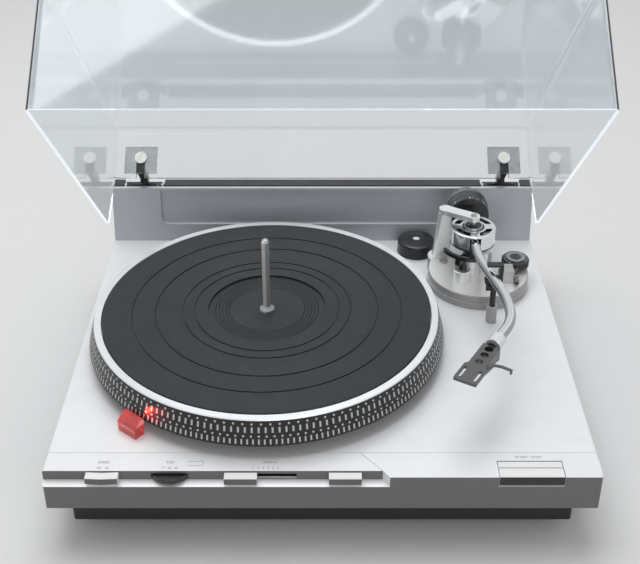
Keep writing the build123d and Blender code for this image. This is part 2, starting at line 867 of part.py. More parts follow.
def gimbal_rod(reach, radius):
    """A rod across the pivot, along the line that the arm rises about."""
    return at(pivot_x, pivot_back, arm_height) * Rot(0, 90, 0) * Cylinder(radius, 2 * reach)


def gimbal_pins():
    """The two pins that reach in from the ring to the arm's hub."""
    pins = []
    for side in (-1, 1):
        near = pivot_x + side * 6.3
        far = pivot_x + side * (ring_radius - 0.3)
        middle = at((near + far) / 2, pivot_back, arm_height)
        pins.append(middle * Rot(0, 90, 0) * Cylinder(pivot_pin_radius, abs(far - near)))
    return shape_group(pins)


def arm_hub():
    """The block inside the ring that joins the arm's two halves."""
    hub = post(pivot_x, pivot_back, ring_low + 1, ring_high - 2.2, arm_hub_radius)
    hub -= arm_rod(pivot_back - arm_hub_radius - 1, pivot_back - 4, tube_radius + fit)
    hub -= arm_rod(pivot_back + 4, pivot_back + arm_hub_radius + 1, rear_shaft_radius + fit)
    for side in (-1, 1):
        x = pivot_x + side * 7.5
        hub -= at(x, pivot_back, arm_height) * Rot(0, 90, 0) * Cylinder(pivot_pin_radius + fit, 3.4)
    return hub


def arm_rod(back0, back1, radius):
    """A cylinder along the arm's rear line."""
    return at(pivot_x, (back0 + back1) / 2, arm_height) * Rot(90, 0, 0) * Cylinder(radius, back1 - back0)


def arm_path():
    """The S-shaped line of the arm, from the hub to the headshell's collar."""
    height = deck_top + arm_height
    start = (pivot_x, pivot_back - 4 - origin_back, height)
    straight = Line(start, (pivot_x, pivot_back - tube_straight - origin_back, height))
    outward = JernArc(straight @ 1, straight % 1, out_bend_radius, out_bend_angle)
    middle = Line(outward @ 1, (outward @ 1) + (outward % 1) * middle_run)
    slow = JernArc(middle @ 1, middle % 1, slow_bend_radius, -slow_bend_angle)
    tight_angle = offset_heading + out_bend_angle - slow_bend_angle
    tight = JernArc(slow @ 1, slow % 1, tight_bend_radius, -tight_angle)
    tail = Line(tight @ 1, (tight @ 1) + (tight % 1) * tail_run)
    return Wire([straight, outward, middle, slow, tight, tail])


def arm_tube():
    """The S-shaped tube."""
    path = arm_path()
    end = Plane(path @ 0, z_dir=path % 0)
    section = (end * Circle(tube_radius)) - (end * Circle(tube_bore))
    return sweep(section, path)


def rear_shaft():
    """The steel stub behind the pivot that carries the weight."""
    end = pivot_back + weight_front + weight_length + weight_knob_length - 2.5
    shaft = arm_rod(pivot_back + 4, end, rear_shaft_radius)
    return chamfer(shaft.faces().sort_by(Axis.Y)[-1].edges(), 0.6)


def weight_sleeve():
    """The sleeve that slides along the stub as the weight is turned."""
    front = pivot_back + weight_front - dial_gap - dial_length
    rear = pivot_back + weight_front + weight_length + weight_knob_length
    sleeve = arm_rod(front, rear, sleeve_radius)
    return sleeve - arm_rod(front - 1, rear + 1, rear_shaft_radius + fit)


def counterweight():
    """The balance weight, with its narrower knurled knob behind."""
    front = pivot_back + weight_front
    middle = front + weight_length
    rear = middle + weight_knob_length
    weight = arm_rod(front, middle, weight_radius)
    weight = chamfer(weight.edges().filter_by(GeomType.CIRCLE), 0.8)
    weight += arm_rod(middle - 0.5, rear, weight_knob_radius)
    return weight - arm_rod(front - 1, rear + 1, weight_bore)


def force_dial():
    """The numbered ring in front of the weight."""
    rear = pivot_back + weight_front - dial_gap
    dial = arm_rod(rear - dial_length, rear, weight_radius - 0.5)
    dial = chamfer(dial.edges().filter_by(GeomType.CIRCLE), 0.6)
    return dial - arm_rod(rear - dial_length - 1, rear + 1, weight_bore)


def pivot_bracket():
    """The arch that holds the pivot from above."""
    x0, back0 = arch_foot
    x1, back1 = arch_top
    pillar = loft([
        at(x0, back0, arm_base_top) * RectangleRounded(19, 11, 3),
        at(x1, back1, arch_low) * RectangleRounded(12.5, 9, 3),
    ])
    top = arch_low + arch_thick
    middle = at((x1 + pivot_x) / 2, (back1 + pivot_back) / 2, (arch_low + top) / 2)
    turn = math.degrees(math.atan2(pivot_back - back1, pivot_x - x1))
    bar = middle * Rot(0, 0, turn) * Box(math.hypot(pivot_x - x1, pivot_back - back1), arch_width, arch_thick)
    ends = post(x1, back1, arch_low, top, 6.2) + post(pivot_x, pivot_back, arch_low, top, arch_width / 2)
    bracket = pillar + bar + ends
    return bracket - post(pivot_x, pivot_back, arch_low - 1, top + 1, pivot_screw_radius + fit)


def pivot_screw():
    """The slotted bearing screw in the end of the arch."""
    screw = post(pivot_x, pivot_back, ring_high + 2.1, arch_low + arch_thick + 1, pivot_screw_radius)
    slot = at(pivot_x, pivot_back, arch_low + arch_thick + 1) * Rot(0, 0, 35) * Box(8, 0.9, 1.6)
    return screw - slot


def bracket_screw():
    """The screw in front of the arch's foot."""
    x, back = arch_foot[0] + 1, arch_foot[1] - 11.5
    screw = post(x, back, arm_base_top, arm_base_top + 1.8, 4.0)
    return screw - at(x, back, arm_base_top + 1.8) * Rot(0, 0, 20) * Box(9, 1.0, 1.6)


def lifter_cylinder():
    """The damped cylinder that the lift bar rises from."""
    cylinder = post(*lifter_at, arm_base_top, lifter_top, lifter_radius)
    cylinder = chamfer(top_edges(cylinder), 0.8)
    return cylinder - post(*lifter_at, arm_base_top + 2, lifter_top + 1, 3.0 + fit)


def lift_bar():
    """The piston with the curved bar that lifts the arm."""
    x, back = lifter_at
    rod = post(x, back, arm_base_top + 2.5, lifter_top + 1, 3.0)
    rod += post(x, back, lifter_top, lift_bar_top - 8, 2.5)
    cone = at(x, back, lifter_top + 4) * Cone(4.2, 2.6, 7)
    outer = lift_bar_radius + lift_bar_width / 2
    inner = lift_bar_radius - lift_bar_width / 2
    low = lift_bar_top - 10
    ring = post(pivot_x, pivot_back, low, lift_bar_top, outer)
    ring -= post(pivot_x, pivot_back, low - 1, lift_bar_top + 1, inner)
    start, end = lift_bar_sweep
    sector = [(pivot_x, pivot_back)]
    for n in range(8):
        angle = math.radians(-start + (start - end) * n / 7)
        sector.append((pivot_x + 45 * math.sin(angle), pivot_back - 45 * math.cos(angle)))
    face = make_face(Polyline(*[(sx, sb - origin_back, 0) for sx, sb in sector], close=True))
    arc = ring & (Pos(0, 0, deck_top + lift_bar_top - 4) * extrude(face, amount=4))
    heading = math.degrees(math.atan2(back - pivot_back, x - pivot_x))
    reach = math.hypot(x - pivot_x, back - pivot_back)
    arm = Pos((reach + outer) / 2, 0, 0) * Box(outer - reach, 5, 3.5)
    arm = at(pivot_x, pivot_back, low + 1.75) * Rot(0, 0, heading) * arm
    web = Pos((inner + outer) / 2, 0, 0) * Box(lift_bar_width - 0.4, 5, 9)
    web = at(pivot_x, pivot_back, low + 4.5) * Rot(0, 0, heading) * web
    return rod + cone + post(x, back, low, low + 3.5, 3.4) + arm + web + arc


def arm_rest_post():
    """The short tube that holds the arm rest."""
    profile = [
        (0, 0),
        (rest_post_radius, 0),
        (rest_post_radius, rest_post_top - 0.6),
        (rest_post_radius - 0.6, rest_post_top),
        (0, rest_post_top),
    ]
    return turned(profile, *rest_at)


def arm_rest_clip():
    """The arm rest: a rod with an open clip that keeps the tube from lifting off."""
    x, back = rest_at
    low = arm_height - tube_radius - clip_gap
    seat = low - 3.5
    clip = post(x, back, rest_post_top, seat, rest_rod_radius)
    clip += block(150, clip_right, clip_back - 5, back + 3.2, seat - 6, seat)
    front, rear = clip_back - clip_length / 2, clip_back + clip_length / 2
    clip += block(clip_finger_tip, clip_right, front, rear, seat - 0.5, low)
    clip += block(clip_right - 2.5, clip_right, front, rear, low - 1, low + 15.5)
    clip += block(clip_finger_tip + 1, clip_right, front, rear, low + 13.5, low + 15.5)
    return clip + block(146.5, 151, front + 2, rear - 2, seat - 9, seat - 3)


def cue_block():
    """The black block that the cue lever turns in."""
    x, back = cue_at
    body = block(x - cue_width / 2, x + cue_width / 2, back - cue_depth / 2, back + cue_depth / 2,
                 arm_base_top, cue_top)
    body = chamfer(top_edges(body), 1.0)
    return body - cue_rod(x - cue_width, x + cue_width, 2.0 + fit)


def cue_rod(x0, x1, radius):
    """A cylinder along the cue lever's axle."""
    return at((x0 + x1) / 2, cue_at[1], cue_top - 6.5) * Rot(0, 90, 0) * Cylinder(radius, x1 - x0)


def cue_lever():
    """The cue lever with its axle and the cam that works the lifter."""
    x, back = cue_at
    right = x + cue_width / 2 + 0.4
    left = x - cue_width / 2 - 0.4
    z = cue_top - 6.5
    lever = cue_rod(left - 3, right + 3.5, 2.0)
    lever += cue_rod(left - 3, left, 4.0)
    lever += cue_rod(right, right + 3.8, 3.8)
    blade = at(right + 1.9, back, z) * Rot(25, 0, 0) * Pos(0, -6, 0) * Box(3.8, 12, 4.4)
    return lever + blade


def antiskate_neck():
    neck = post(*bias_at, arm_base_top, bias_low - 0.3, bias_neck_radius)
    return neck + post(*bias_at, arm_base_top, bias_high - 3, 2.5)


def antiskate_knob():
    """The numbered bias knob."""
    knob = post(*bias_at, bias_low, bias_high, bias_radius)
    knob = chamfer(top_edges(knob), 0.8)
    return knob - post(*bias_at, bias_low - 1, bias_high - 2.5, 2.5 + fit)


def antiskate_cap():
    """The bright disc on the bias knob."""
    cap = post(*bias_at, bias_high, bias_high + 1.2, 9.2)
    return cap - at(bias_at[0], bias_at[1], bias_high + 1.2) * Box(1.0, 12, 1.0)


def shell_place(height):
    """The headshell's own place: its front edge, with X running back along it."""
    path = arm_path()
    tip = (path @ 1) + (path % 1) * (shell_length + plug_length + plug_gap)
    return Pos(tip.X, tip.Y, deck_top + height) * Rot(0, 0, 90 - offset_heading)


def headshell():
    """The lift-off headshell with its two cartridge slots and the bayonet plug."""
    neck = shell_ear_length + 3.7
    outline = [
        (0, -shell_front_half),
        (shell_ear_length, -shell_front_half),
        (neck, -shell_body_half),
        (shell_length, -shell_body_half),
        (shell_length, shell_body_half),
        (neck, shell_body_half),
        (shell_ear_length, shell_front_half),
        (0, shell_front_half),
    ]
    face = make_face(Polyline(*outline, close=True))
    plate = Pos(0, 0, -shell_plate) * extrude(face, amount=shell_plate)
    plate = fillet(plate.edges().filter_by(Axis.Z).group_by(Axis.X)[0], 1.0)
    side = [(neck, -1), (neck, -4), (shell_length, -shell_deep), (shell_length, -1)]
    wedge = make_face(Polyline(*[(u, -shell_body_half, w) for u, w in side], close=True))
    shell = plate + extrude(wedge, amount=2 * shell_body_half, dir=(0, 1, 0))
    for v in (-slot_spacing / 2, slot_spacing / 2):
        middle = slot_start + slot_length / 2
        shell -= Pos(middle, v, 0) * extrude(SlotOverall(slot_length, slot_width), amount=8, both=True)
    for u, radius in shell_holes[1:]:
        shell -= Pos(u, 0, -4) * Cylinder(radius, 30)
    u, radius = shell_holes[0]
    shell -= Pos(u, 0, 0) * Cylinder(radius, 8)
    plug = Pos(shell_length + plug_length / 2 - 0.25, 0, -shell_top_above)
    plug = plug * Rot(0, 90, 0) * Cylinder(plug_radius, plug_length + 0.5)
    return shell_place(arm_height + shell_top_above) * (shell + plug)


def finger_lift():
    """The bent wire strip at the headshell's side."""
    line = Polyline((19.5, -8.2), (33.6, -9.9), (35.1, -16.1), (34.6, -24.6))
    strip = extrude(trace(line, 2.4), amount=-1.3)
    tip = Pos(34.6, -24.6, -2) * Box(2.4, 1.4, 4)
    return shell_place(arm_height + shell_top_above - shell_plate) * (strip + tip)


def locking_collar():
    """The ring that draws the headshell's plug in."""
    reach = shell_length + plug_length + plug_gap
    middle = shell_place(arm_height) * Pos(reach, 0, 0) * Rot(0, 90, 0)
    collar = Cylinder(collar_radius, collar_length)
    collar = chamfer(collar.edges().filter_by(GeomType.CIRCLE), 0.7)
    return middle * (collar - Cylinder(tube_radius + fit, collar_length + 1))


def cover_front_at(z):
    return cover_front + cover_front_lean * (z - cover_lift) / cover_height


def cover_rear_at(z):
    share = (z - cover_rear_low) / (cover_height + cover_lift - cover_rear_low)
    return cover_rear_back + cover_rear_lean * share


def opened(shape):
    """Turns a piece of the closed cover up to where it rests."""
    hinge = at(0, hinge_back, hinge_height)
    return hinge * Rot(-cover_open, 0, 0) * hinge.inverse() * shape


def closed_cover():
    """The cover as it lies on the plinth: five thin walls, cut away at the back for the hinges."""
    top = cover_lift + cover_height
    outline = [
        (cover_front, cover_lift),
        (cover_front_at(top), top),
        (cover_rear_at(top), top),
        (cover_rear_back, cover_rear_low),
        (cover_side_foot, cover_lift),
    ]
    cover = side_shape(outline, -cover_half_width, cover_half_width)
    level = deck_top + cover_rear_low + 1
    cover = fillet(cover.edges().filter_by(lambda edge: edge.center().Z > level), cover_round)
    t = cover_wall
    inside = [
        (cover_front_at(-5) + t, -5),
        (cover_front_at(top - t) + t, top - t),
        (cover_rear_at(top - t) - t, top - t),
        (cover_rear_back - t, cover_rear_low),
        (cover_rear_back + 20, cover_rear_low),
        (cover_rear_back + 20, -5),
    ]
    hollow = side_shape(inside, -cover_half_width + t, cover_half_width - t)
    hollow = fillet(hollow.edges().filter_by(lambda edge: edge.center().Z > level + 20), cover_round - t)
    cover -= hollow
    for side in (-1, 1):
        x = side * hinge_x
        half = hinge_arm_width / 2 + 0.3
        cover -= block(x - half, x + half, cover_rear_back - 10, cover_rear_back + 10,
                       cover_rear_low - 5, hinge_arm_low + hinge_arm_thick + 0.4)
        cover -= cover_screw_line(x, -10, 30, 2.2)
    return cover


def cover_screw_place(x):
    """Where a cover screw's head sits, square to the plate inside the rear wall."""
    lean = math.degrees(math.atan2(cover_rear_lean, cover_height + cover_lift - cover_rear_low))
    face = cover_rear_at(cover_screw_height) - cover_wall - 3
    return at(x, face, cover_screw_height) * Rot(-lean, 0, 0)


def cover_screw_line(x, start, length, radius):
    """A cylinder along a cover screw, from a distance behind its plate's face."""
    return cover_screw_place(x) * Pos(0, start + length / 2, 0) * Rot(90, 0, 0) * Cylinder(radius, length)


def dust_cover():
    return opened(closed_cover())


def cover_hinge_plates():
    """The plates inside the cover, each with the arm that reaches back to its barrel."""
    plates = []
    low, high = hinge_plate_low, hinge_plate_high
    inner_low = cover_rear_at(low) - cover_wall
    inner_high = cover_rear_at(high) - cover_wall
    outline = [(inner_low, low), (inner_high, high), (inner_high - 3, high), (inner_low - 3, low)]
    top = hinge_arm_low + hinge_arm_thick
    for side in (-1, 1):
        x = side * hinge_x
        half = hinge_arm_width / 2
        plate = side_shape(outline, x - hinge_plate_width / 2, x + hinge_plate_width / 2)
        plate += block(x - half, x + half, inner_low - 1, hinge_back + 4, hinge_arm_low, top)
        plate += block(x - half, x + half, hinge_back - 4, hinge_back + 4, hinge_height, top)
        reach = hinge_span / 2 - hinge_ear - 0.6
        plate += hinge_rod(x - reach, x + reach, hinge_barrel_radius)
        plate -= hinge_rod(x - reach - 1, x + reach + 1, hinge_pin_radius + fit)
        plate -= cover_screw_line(x, -10, 30, 2.2)
        plates.append(opened(plate))
    return shape_group(plates)


def cover_screws():
    """The big white slotted screws that hold the cover to its plates."""
    screws = []
    for side in (-1, 1):
        x = side * hinge_x
        head = cover_screw_line(x, -2, 1.96, cover_screw_radius)
        shank = cover_screw_line(x, -1, 8, 2.0)
        nut = cover_screw_line(x, 6.04, 2.5, 4.5)
        slot = cover_screw_place(x) * Pos(0, -2, 0) * Rot(0, 30, 0) * Box(1.3, 1.6, 14)
        screws.append(opened(head + shank + nut - slot))
    return shape_group(screws)


os.makedirs("parts", exist_ok=True)

pieces = {
    "plinth_casing": plinth_casing,
    "front_strip": front_strip,
    "start_key_wire": start_key_wire,
    "start_key": start_key,
    "speed_rocker": speed_rocker,
    "size_wheel": size_wheel,
    "memo_slider": lambda: key_cap(slider_x),
    "reject_key": lambda: key_cap(reject_x),
    "base_tray": base_tray,
    "tray_screws": tray_screws,
    "feet": feet,
    "cord_glands": cord_glands,
    "transformer": transformer,
    "circuit_board": circuit_board,
    "rear_fascia": rear_fascia,
    "rear_housing": rear_housing,
    "hinge_holders": hinge_holders,
    "hinge_pins": hinge_pins,
    "platter": platter,
    "platter_mat": platter_mat,
    "rotor_magnet": rotor_magnet,
    "motor_shaft": motor_shaft,
    "changer_spindle": changer_spindle,
    "motor_stator": motor_stator,
    "stator_coils": stator_coils,
    "bearing_housing": bearing_housing,
    "adapter_45": adapter_45,
    "strobe_prism": strobe_prism,
    "tonearm_base": tonearm_base,
    "pivot_pillar": pivot_pillar,
    "pivot_neck": pivot_neck,
    "gimbal_yoke": gimbal_yoke,
    "gimbal_ring": gimbal_ring,
    "gimbal_pins": gimbal_pins,
    "arm_hub": arm_hub,
    "arm_tube": arm_tube,
    "rear_shaft": rear_shaft,
    "weight_sleeve": weight_sleeve,
    "counterweight": counterweight,
    "force_dial": force_dial,
    "pivot_bracket": pivot_bracket,
    "pivot_screw": pivot_screw,
    "bracket_screw": bracket_screw,
    "lifter_cylinder": lifter_cylinder,
    "lift_bar": lift_bar,
    "arm_rest_post": arm_rest_post,
    "arm_rest_clip": arm_rest_clip,
    "cue_block": cue_block,
    "cue_lever": cue_lever,
    "antiskate_neck": antiskate_neck,
    "antiskate_knob": antiskate_knob,
    "antiskate_cap": antiskate_cap,
    "headshell": headshell,
    "finger_lift": finger_lift,
    "locking_collar": locking_collar,
    "dust_cover": dust_cover,
    "cover_hinge_plates": cover_hinge_plates,
    "cover_screws": cover_screws,
}

for name, build in pieces.items():
    export_step(build(), f"parts/{name}.step")
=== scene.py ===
import math

import bmesh
import bpy
from mathutils import Matrix, Vector


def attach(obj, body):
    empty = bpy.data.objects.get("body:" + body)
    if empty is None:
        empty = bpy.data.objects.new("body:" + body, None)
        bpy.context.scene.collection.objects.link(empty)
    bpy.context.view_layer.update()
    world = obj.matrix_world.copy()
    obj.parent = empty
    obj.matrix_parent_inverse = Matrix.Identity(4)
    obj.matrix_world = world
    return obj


bl_info = {
    "name": "Turntable finish",
    "version": (1, 0, 0),
    "blender": (4, 5, 0),
    "location": "View3D > Sidebar > Turntable",
    "description": "Finishes, printed marks, grips and studio for a record player with a clear cover",
    "category": "Object",
}

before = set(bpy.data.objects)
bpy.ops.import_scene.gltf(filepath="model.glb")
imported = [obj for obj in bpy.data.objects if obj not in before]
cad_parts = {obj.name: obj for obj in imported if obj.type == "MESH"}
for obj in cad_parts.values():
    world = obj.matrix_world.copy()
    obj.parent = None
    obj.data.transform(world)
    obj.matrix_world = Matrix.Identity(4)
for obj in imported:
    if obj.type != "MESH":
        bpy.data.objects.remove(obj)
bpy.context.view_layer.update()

MM = 0.001
FRONT = (0.0, -1.0, 0.0)
UP = (0.0, 0.0, 1.0)
BLACK = (0.0, 0.0, 0.0, 1.0)
WHITE = (1.0, 1.0, 1.0, 1.0)

# All sizes below are in millimetres. The frame's origin lies this far behind the front face and below the
# deck's top.
ORIGIN_BACK = 194.87
DECK_TOP = 72.0

# The platter's axis and the ends of its slanting band, as (radius, height above the deck)
PLATTER_X = -49.0
PLATTER_BACK = 178.5
BAND_LOW = (157.0, 11.3)
BAND_HIGH = (151.6, 32.0)
BAND_PRINT_RADIUS = 151.45
MAT_RADIUS = 144.5
MAT_EDGE = 2.0
LABEL_RADIUS = 52.0
LABEL_EDGE = 1.0

# The side of the upright spindle that gets a painted highlight, as if it caught the light
SPINDLE_PAINTED_HIGHLIGHT = (-0.6, -0.8, 0.0)

# Rows of the strobe band from the top: dots or bars, count, share of the way down, height, width
STROBE_ROWS = (
    ("dot", 133, 0.125, 1.9, 1.9),
    ("bar", 180, 0.354, 5.3, 2.15),
    ("dot", 160, 0.604, 1.9, 1.9),
    ("bar", 216, 0.82, 4.9, 1.9),
)

# The tonearm's rear line, with the weight's and the dial's places on it
ARM_X = 142.0
ARM_HEIGHT = 56.5
DIAL_FRONT = 299.2
DIAL_RADIUS = 19.5
WEIGHT_FRONT = 305.5
WEIGHT_MIDDLE = 319.5
WEIGHT_REAR = 335.5
WEIGHT_RADIUS = 20.0
WEIGHT_SMOOTH = 9.0
WEIGHT_CHAMFER = 1.2
KNOB_RADIUS = 13.2
KNOB_EDGE = 0.5
RIB_MARGIN = 0.6
RIB_FILL = 0.52

# The dial's numbers, its marks between them, and how far both stand behind its front
DIAL_NUMBERS = ("0", "1", "2", "3", "0", "1", "2", "3")
DIAL_STEPS = 5
DIAL_NUMBER_BACK = 2.2
DIAL_MARK_BACK = 4.6
DIAL_LETTER = 2.4
SHORT_MARK = 1.0
LONG_MARK = 1.6

# The bias knob: its place, heights and radii, then its numbers from the first one's angle on
BIAS_AT = (186.5, 275.5)
BIAS_LOW = 17.0
BIAS_TOP = 24.5
BIAS_EDGE = 0.8
BIAS_RADIUS = 12.9
BIAS_RING_RADIUS = 5.2
BIAS_NUMBERS = ("0", "1", "2", "3")
BIAS_STEPS = 5
BIAS_FIRST_ANGLE = 230.0
BIAS_STEP_ANGLE = 17.5
BIAS_NUMBER_RADIUS = 10.7
BIAS_MARK_RADIUS = 10.9
BIAS_LETTER = 2.1
BIAS_MARK = 1.2

# Half the widths of the strip's lines, the dial's marks and the bias knob's marks
LINE_HALF = 0.18
DIAL_MARK_HALF = 0.16
BIAS_MARK_HALF = 0.14

# The gimbal ring's black boss round the pivot, with a painted highlight: a thin ring left as bright metal
PIVOT_BACK = 267.0
BOSS_RADIUS = 10.5
BOSS_HIGHLIGHT_RADIUS = 8.3
BOSS_HIGHLIGHT_HALF = 0.4

BASE_AT = (150.5, 271.5)
ADAPTER_AT = (95.0, 328.8)
LAMP_AT = (-153.0, 52.2)
LAMP_TOP = 12.0
LIT_BAND = (-128.0, 50.0, 20.0)

# The cover at rest is opened by this angle about its hinge, (behind the front face, above the deck)
COVER_OPEN = 45.4
COVER_HINGE = (369.0, 52.6)
COVER_RIM_DEPTH = 45.0
COVER_SLANT_RISE = 52.8
COVER_SLANT_RUN = 21.0
COVER_SLANT_REACH = 60.0

# The hinge plates' dark stems, with heights above the ground
HINGE_X = 182.5
HINGE_STEM_HALF = 4.2
HINGE_STEM_TOP = 158.0
HINGE_FOOT_TOP = 146.5

# Widths of the soft steps between two colours
SHARP_EDGE = 0.1
SOFT_EDGE = 0.6

# The grain's noise scales, the broad wash's share of the speckle, and the painted sheen on the mat's ring
# crests, as a multiple of its colour
HANDLING_SCALE = 22.0
DUST_SCALE = 60.0
DUST = (0.5, 0.5, 0.49, 1.0)
WASH_SHARE = 0.6
MAT_CREST_SHEEN = 1.7

PAINT_WHITE = (0.74, 0.74, 0.72)
LAMP_GLOW = (0.9, 0.02, 0.02, 1.0)

# A font's size for letters of height 1
FONT_SIZE = 1.4

# The studio, in metres: half the floor's side, then the lamps and the camera that match the photograph
FLOOR_REACH = 9.0
KEY_SPOT = (-0.25, 0.42, 1.95)
KEY_TARGET = (0.0, 0.0, 0.05)
FILL_SPOT = (0.5, -1.7, 1.1)
FILL_TARGET = (0.0, 0.0, 0.1)
CAMERA_SPOT = (0.0, -0.82377, 0.6628)
CAMERA_TILT = 60.0
CAMERA_SHIFT = (-0.00375, -0.10)
SENSOR_WIDTH = 36.0


def place(x, back, z):
    """A point in metres from millimetres right of the middle, behind the front face and above the deck."""
    return Vector((x, back - ORIGIN_BACK, z + DECK_TOP)) * MM


def colour_prop(name, description, value):
    """A colour that the panel shows."""
    return bpy.props.FloatVectorProperty(
        name=name, description=description, default=value, subtype="COLOR", size=3, min=0.0, max=1.0
    )


def length_prop(name, description, value):
    """A length in metres that the panel shows."""
    return bpy.props.FloatProperty(name=name, description=description, default=value, unit="LENGTH", min=0.0)


def count_prop(name, description, value):
    """A count that the panel shows."""
    return bpy.props.IntProperty(name=name, description=description, default=value, min=8)


def power_prop(name, description, value):
    """A lamp's power in watts that the panel shows."""
    return bpy.props.FloatProperty(name=name, description=description, default=value, min=0.0, unit="POWER")


class TurntableColours(bpy.types.PropertyGroup):
    deck: colour_prop("Deck", "Satin silver of the deck and the front strip", (0.83, 0.838, 0.85))
    # Painted shade: the strip's front face is the deck's silver, painted darker as if it looked away from the
    # light
    front: colour_prop("Front face", "Darker satin grey of the strip's front face", (0.165, 0.16, 0.165))
    fascia: colour_prop("Rear wall", "Blue-grey silver of the wall behind the platter", (0.46, 0.485, 0.52))
    key: colour_prop("Keys", "Tops of the keys", (0.90, 0.905, 0.91))
    # Painted shade: the key and cap fronts are painted darker than their tops, which are the same plastic
    key_front_shade: colour_prop("Start key front", "Dark front of the start and stop key", (0.024, 0.023, 0.024))
    cap_front_shade: colour_prop("Cap fronts", "Grey fronts of the small caps on the ledge", (0.13, 0.127, 0.13))
    plastic: colour_prop("Black plastic", "Tray, rear housing and small black parts", (0.018, 0.018, 0.02))
    mat: colour_prop("Mat", "Dark slate rubber of the mat", (0.016, 0.018, 0.020))
    band: colour_prop("Band", "Black of the platter's slanting band", (0.012, 0.012, 0.013))
    marks: colour_prop("Marks", "Silver of the band's marks", (0.55, 0.56, 0.57))
    metal: colour_prop("Bright metal", "Plated and polished metal", (0.80, 0.81, 0.82))
    # Painted shade: the plating's colour on faces that look away from the light; faces that look up get a
    # painted highlight
    painted_light_chrome: colour_prop("Chrome", "Plating of the tonearm, away from the light", (0.40, 0.41, 0.43))
    # Painted light: the disc's top and side are one metal; the top is painted bright and the side in a darker
    # painted shade
    base: colour_prop("Tonearm base", "Top of the tonearm's two-tier disc", (0.88, 0.88, 0.875))
    base_side_painted_shade: colour_prop("Base edge", "Turned side of the two-tier disc", (0.36, 0.355, 0.355))
    lamp: colour_prop("Lamp", "Red window of the strobe lamp", (0.96, 0.44, 0.42))
    cover: colour_prop("Cover", "Tint of the clear cover", (0.87, 0.905, 0.925))
    # Painted highlight: emission colour that makes the cover's lower edges glow as if they caught the light
    cover_edge_highlight: colour_prop("Cover edge", "Light given back by the cover's lower edges", (0.86, 0.92, 1.0))
    shell: colour_prop("Headshell", "Dark warm grey of the headshell", (0.14, 0.133, 0.135))


class TurntableMarks(bpy.types.PropertyGroup):
    proud: length_prop("Mark thickness", "How far printed marks stand off their surface", 0.00012)
    letter: length_prop("Letter height", "Height of the small letters on the strip", 0.0024)
    rib: length_prop("Rib height", "How far the grip ribs stand out", 0.0005)
    weight_ribs: count_prop("Weight ribs", "Ribs round the weight", 72)
    bias_ribs: count_prop("Bias ribs", "Ribs round the bias knob", 40)


class TurntableStudio(bpy.types.PropertyGroup):
    floor: colour_prop("Floor", "Pale floor and backdrop", (0.80, 0.805, 0.81))
    key_power: power_prop("Key light", "Power of the large light above", 20.5)
    fill_power: power_prop("Fill light", "Power of the light in front", 4.0)
    glow_power: power_prop("Strobe glow", "Power of the red light on the band", 0.13)
    sky: bpy.props.FloatProperty(
        name="Sky", description="Strength of the even light from all round", default=0.46, min=0.0
    )
    lens: bpy.props.FloatProperty(
        name="Lens", description="Focal length in millimetres", default=62.11, min=1.0
    )


def colours():
    return bpy.context.scene.turntable_colours


def marks():
    return bpy.context.scene.turntable_marks


class Net:
    """Short calls for making the nodes of one tree."""

    def __init__(self, tree):
        self.tree = tree

    def put(self, socket, value):
        """Links a socket's value, or types a plain one in."""
        if isinstance(value, bpy.types.NodeSocket):
            self.tree.links.new(value, socket)
        else:
            socket.default_value = value

    def node(self, kind, inputs=(), **settings):
        """A new node with its sockets and settings filled in."""
        made = self.tree.nodes.new(kind)
        for key, value in settings.items():
            setattr(made, key, value)
        for key, value in dict(inputs).items():
            self.put(made.inputs[key], value)
        return made

    def calc(self, operation, a, b=0.0):
        """A Math node's result."""
        return self.node("ShaderNodeMath", {0: a, 1: b}, operation=operation).outputs[0]

    def vector(self, operation, a, b):
        """A Vector Math node's vector."""
        return self.node("ShaderNodeVectorMath", {0: a, 1: b}, operation=operation).outputs[0]

    def dot(self, a, b):
        """How far one vector reaches along the other."""
        return self.node("ShaderNodeVectorMath", {0: a, 1: b}, operation="DOT_PRODUCT").outputs["Value"]

    def blend(self, factor, a, b):
        """The colour a where the factor is 0, b where it is 1."""
        return self.node("ShaderNodeMix", {0: factor, 6: a, 7: b}, data_type="RGBA").outputs[2]

    def step(self, value, low, high):
        """A soft step from 0 at low to 1 at high."""
        inputs = {"Value": value, "From Min": low, "From Max": high}
        return self.node("ShaderNodeMapRange", inputs, interpolation_type="SMOOTHSTEP").outputs["Result"]

    def noise(self, coordinates, scale, detail=2.0):
        """Even noise round 0.5."""
        inputs = {"Vector": coordinates, "Scale": scale, "Detail": detail}
        return self.node("ShaderNodeTexNoise", inputs).outputs["Fac"]


def new_group(name, inputs, outputs):
    """A shader node group with named sockets, and the calls to fill it."""
    group = bpy.data.node_groups.new(name, "ShaderNodeTree")
    for label, kind, value in inputs:
        group.interface.new_socket(name=label, in_out="INPUT", socket_type=kind).default_value = value
    for label, kind in outputs:
        group.interface.new_socket(name=label, in_out="OUTPUT", socket_type=kind)
    net = Net(group)
    return group, net, net.node("NodeGroupInput"), net.node("NodeGroupOutput")


COLOUR = "NodeSocketColor"
NUMBER = "NodeSocketFloat"
VECTOR = "NodeSocketVector"


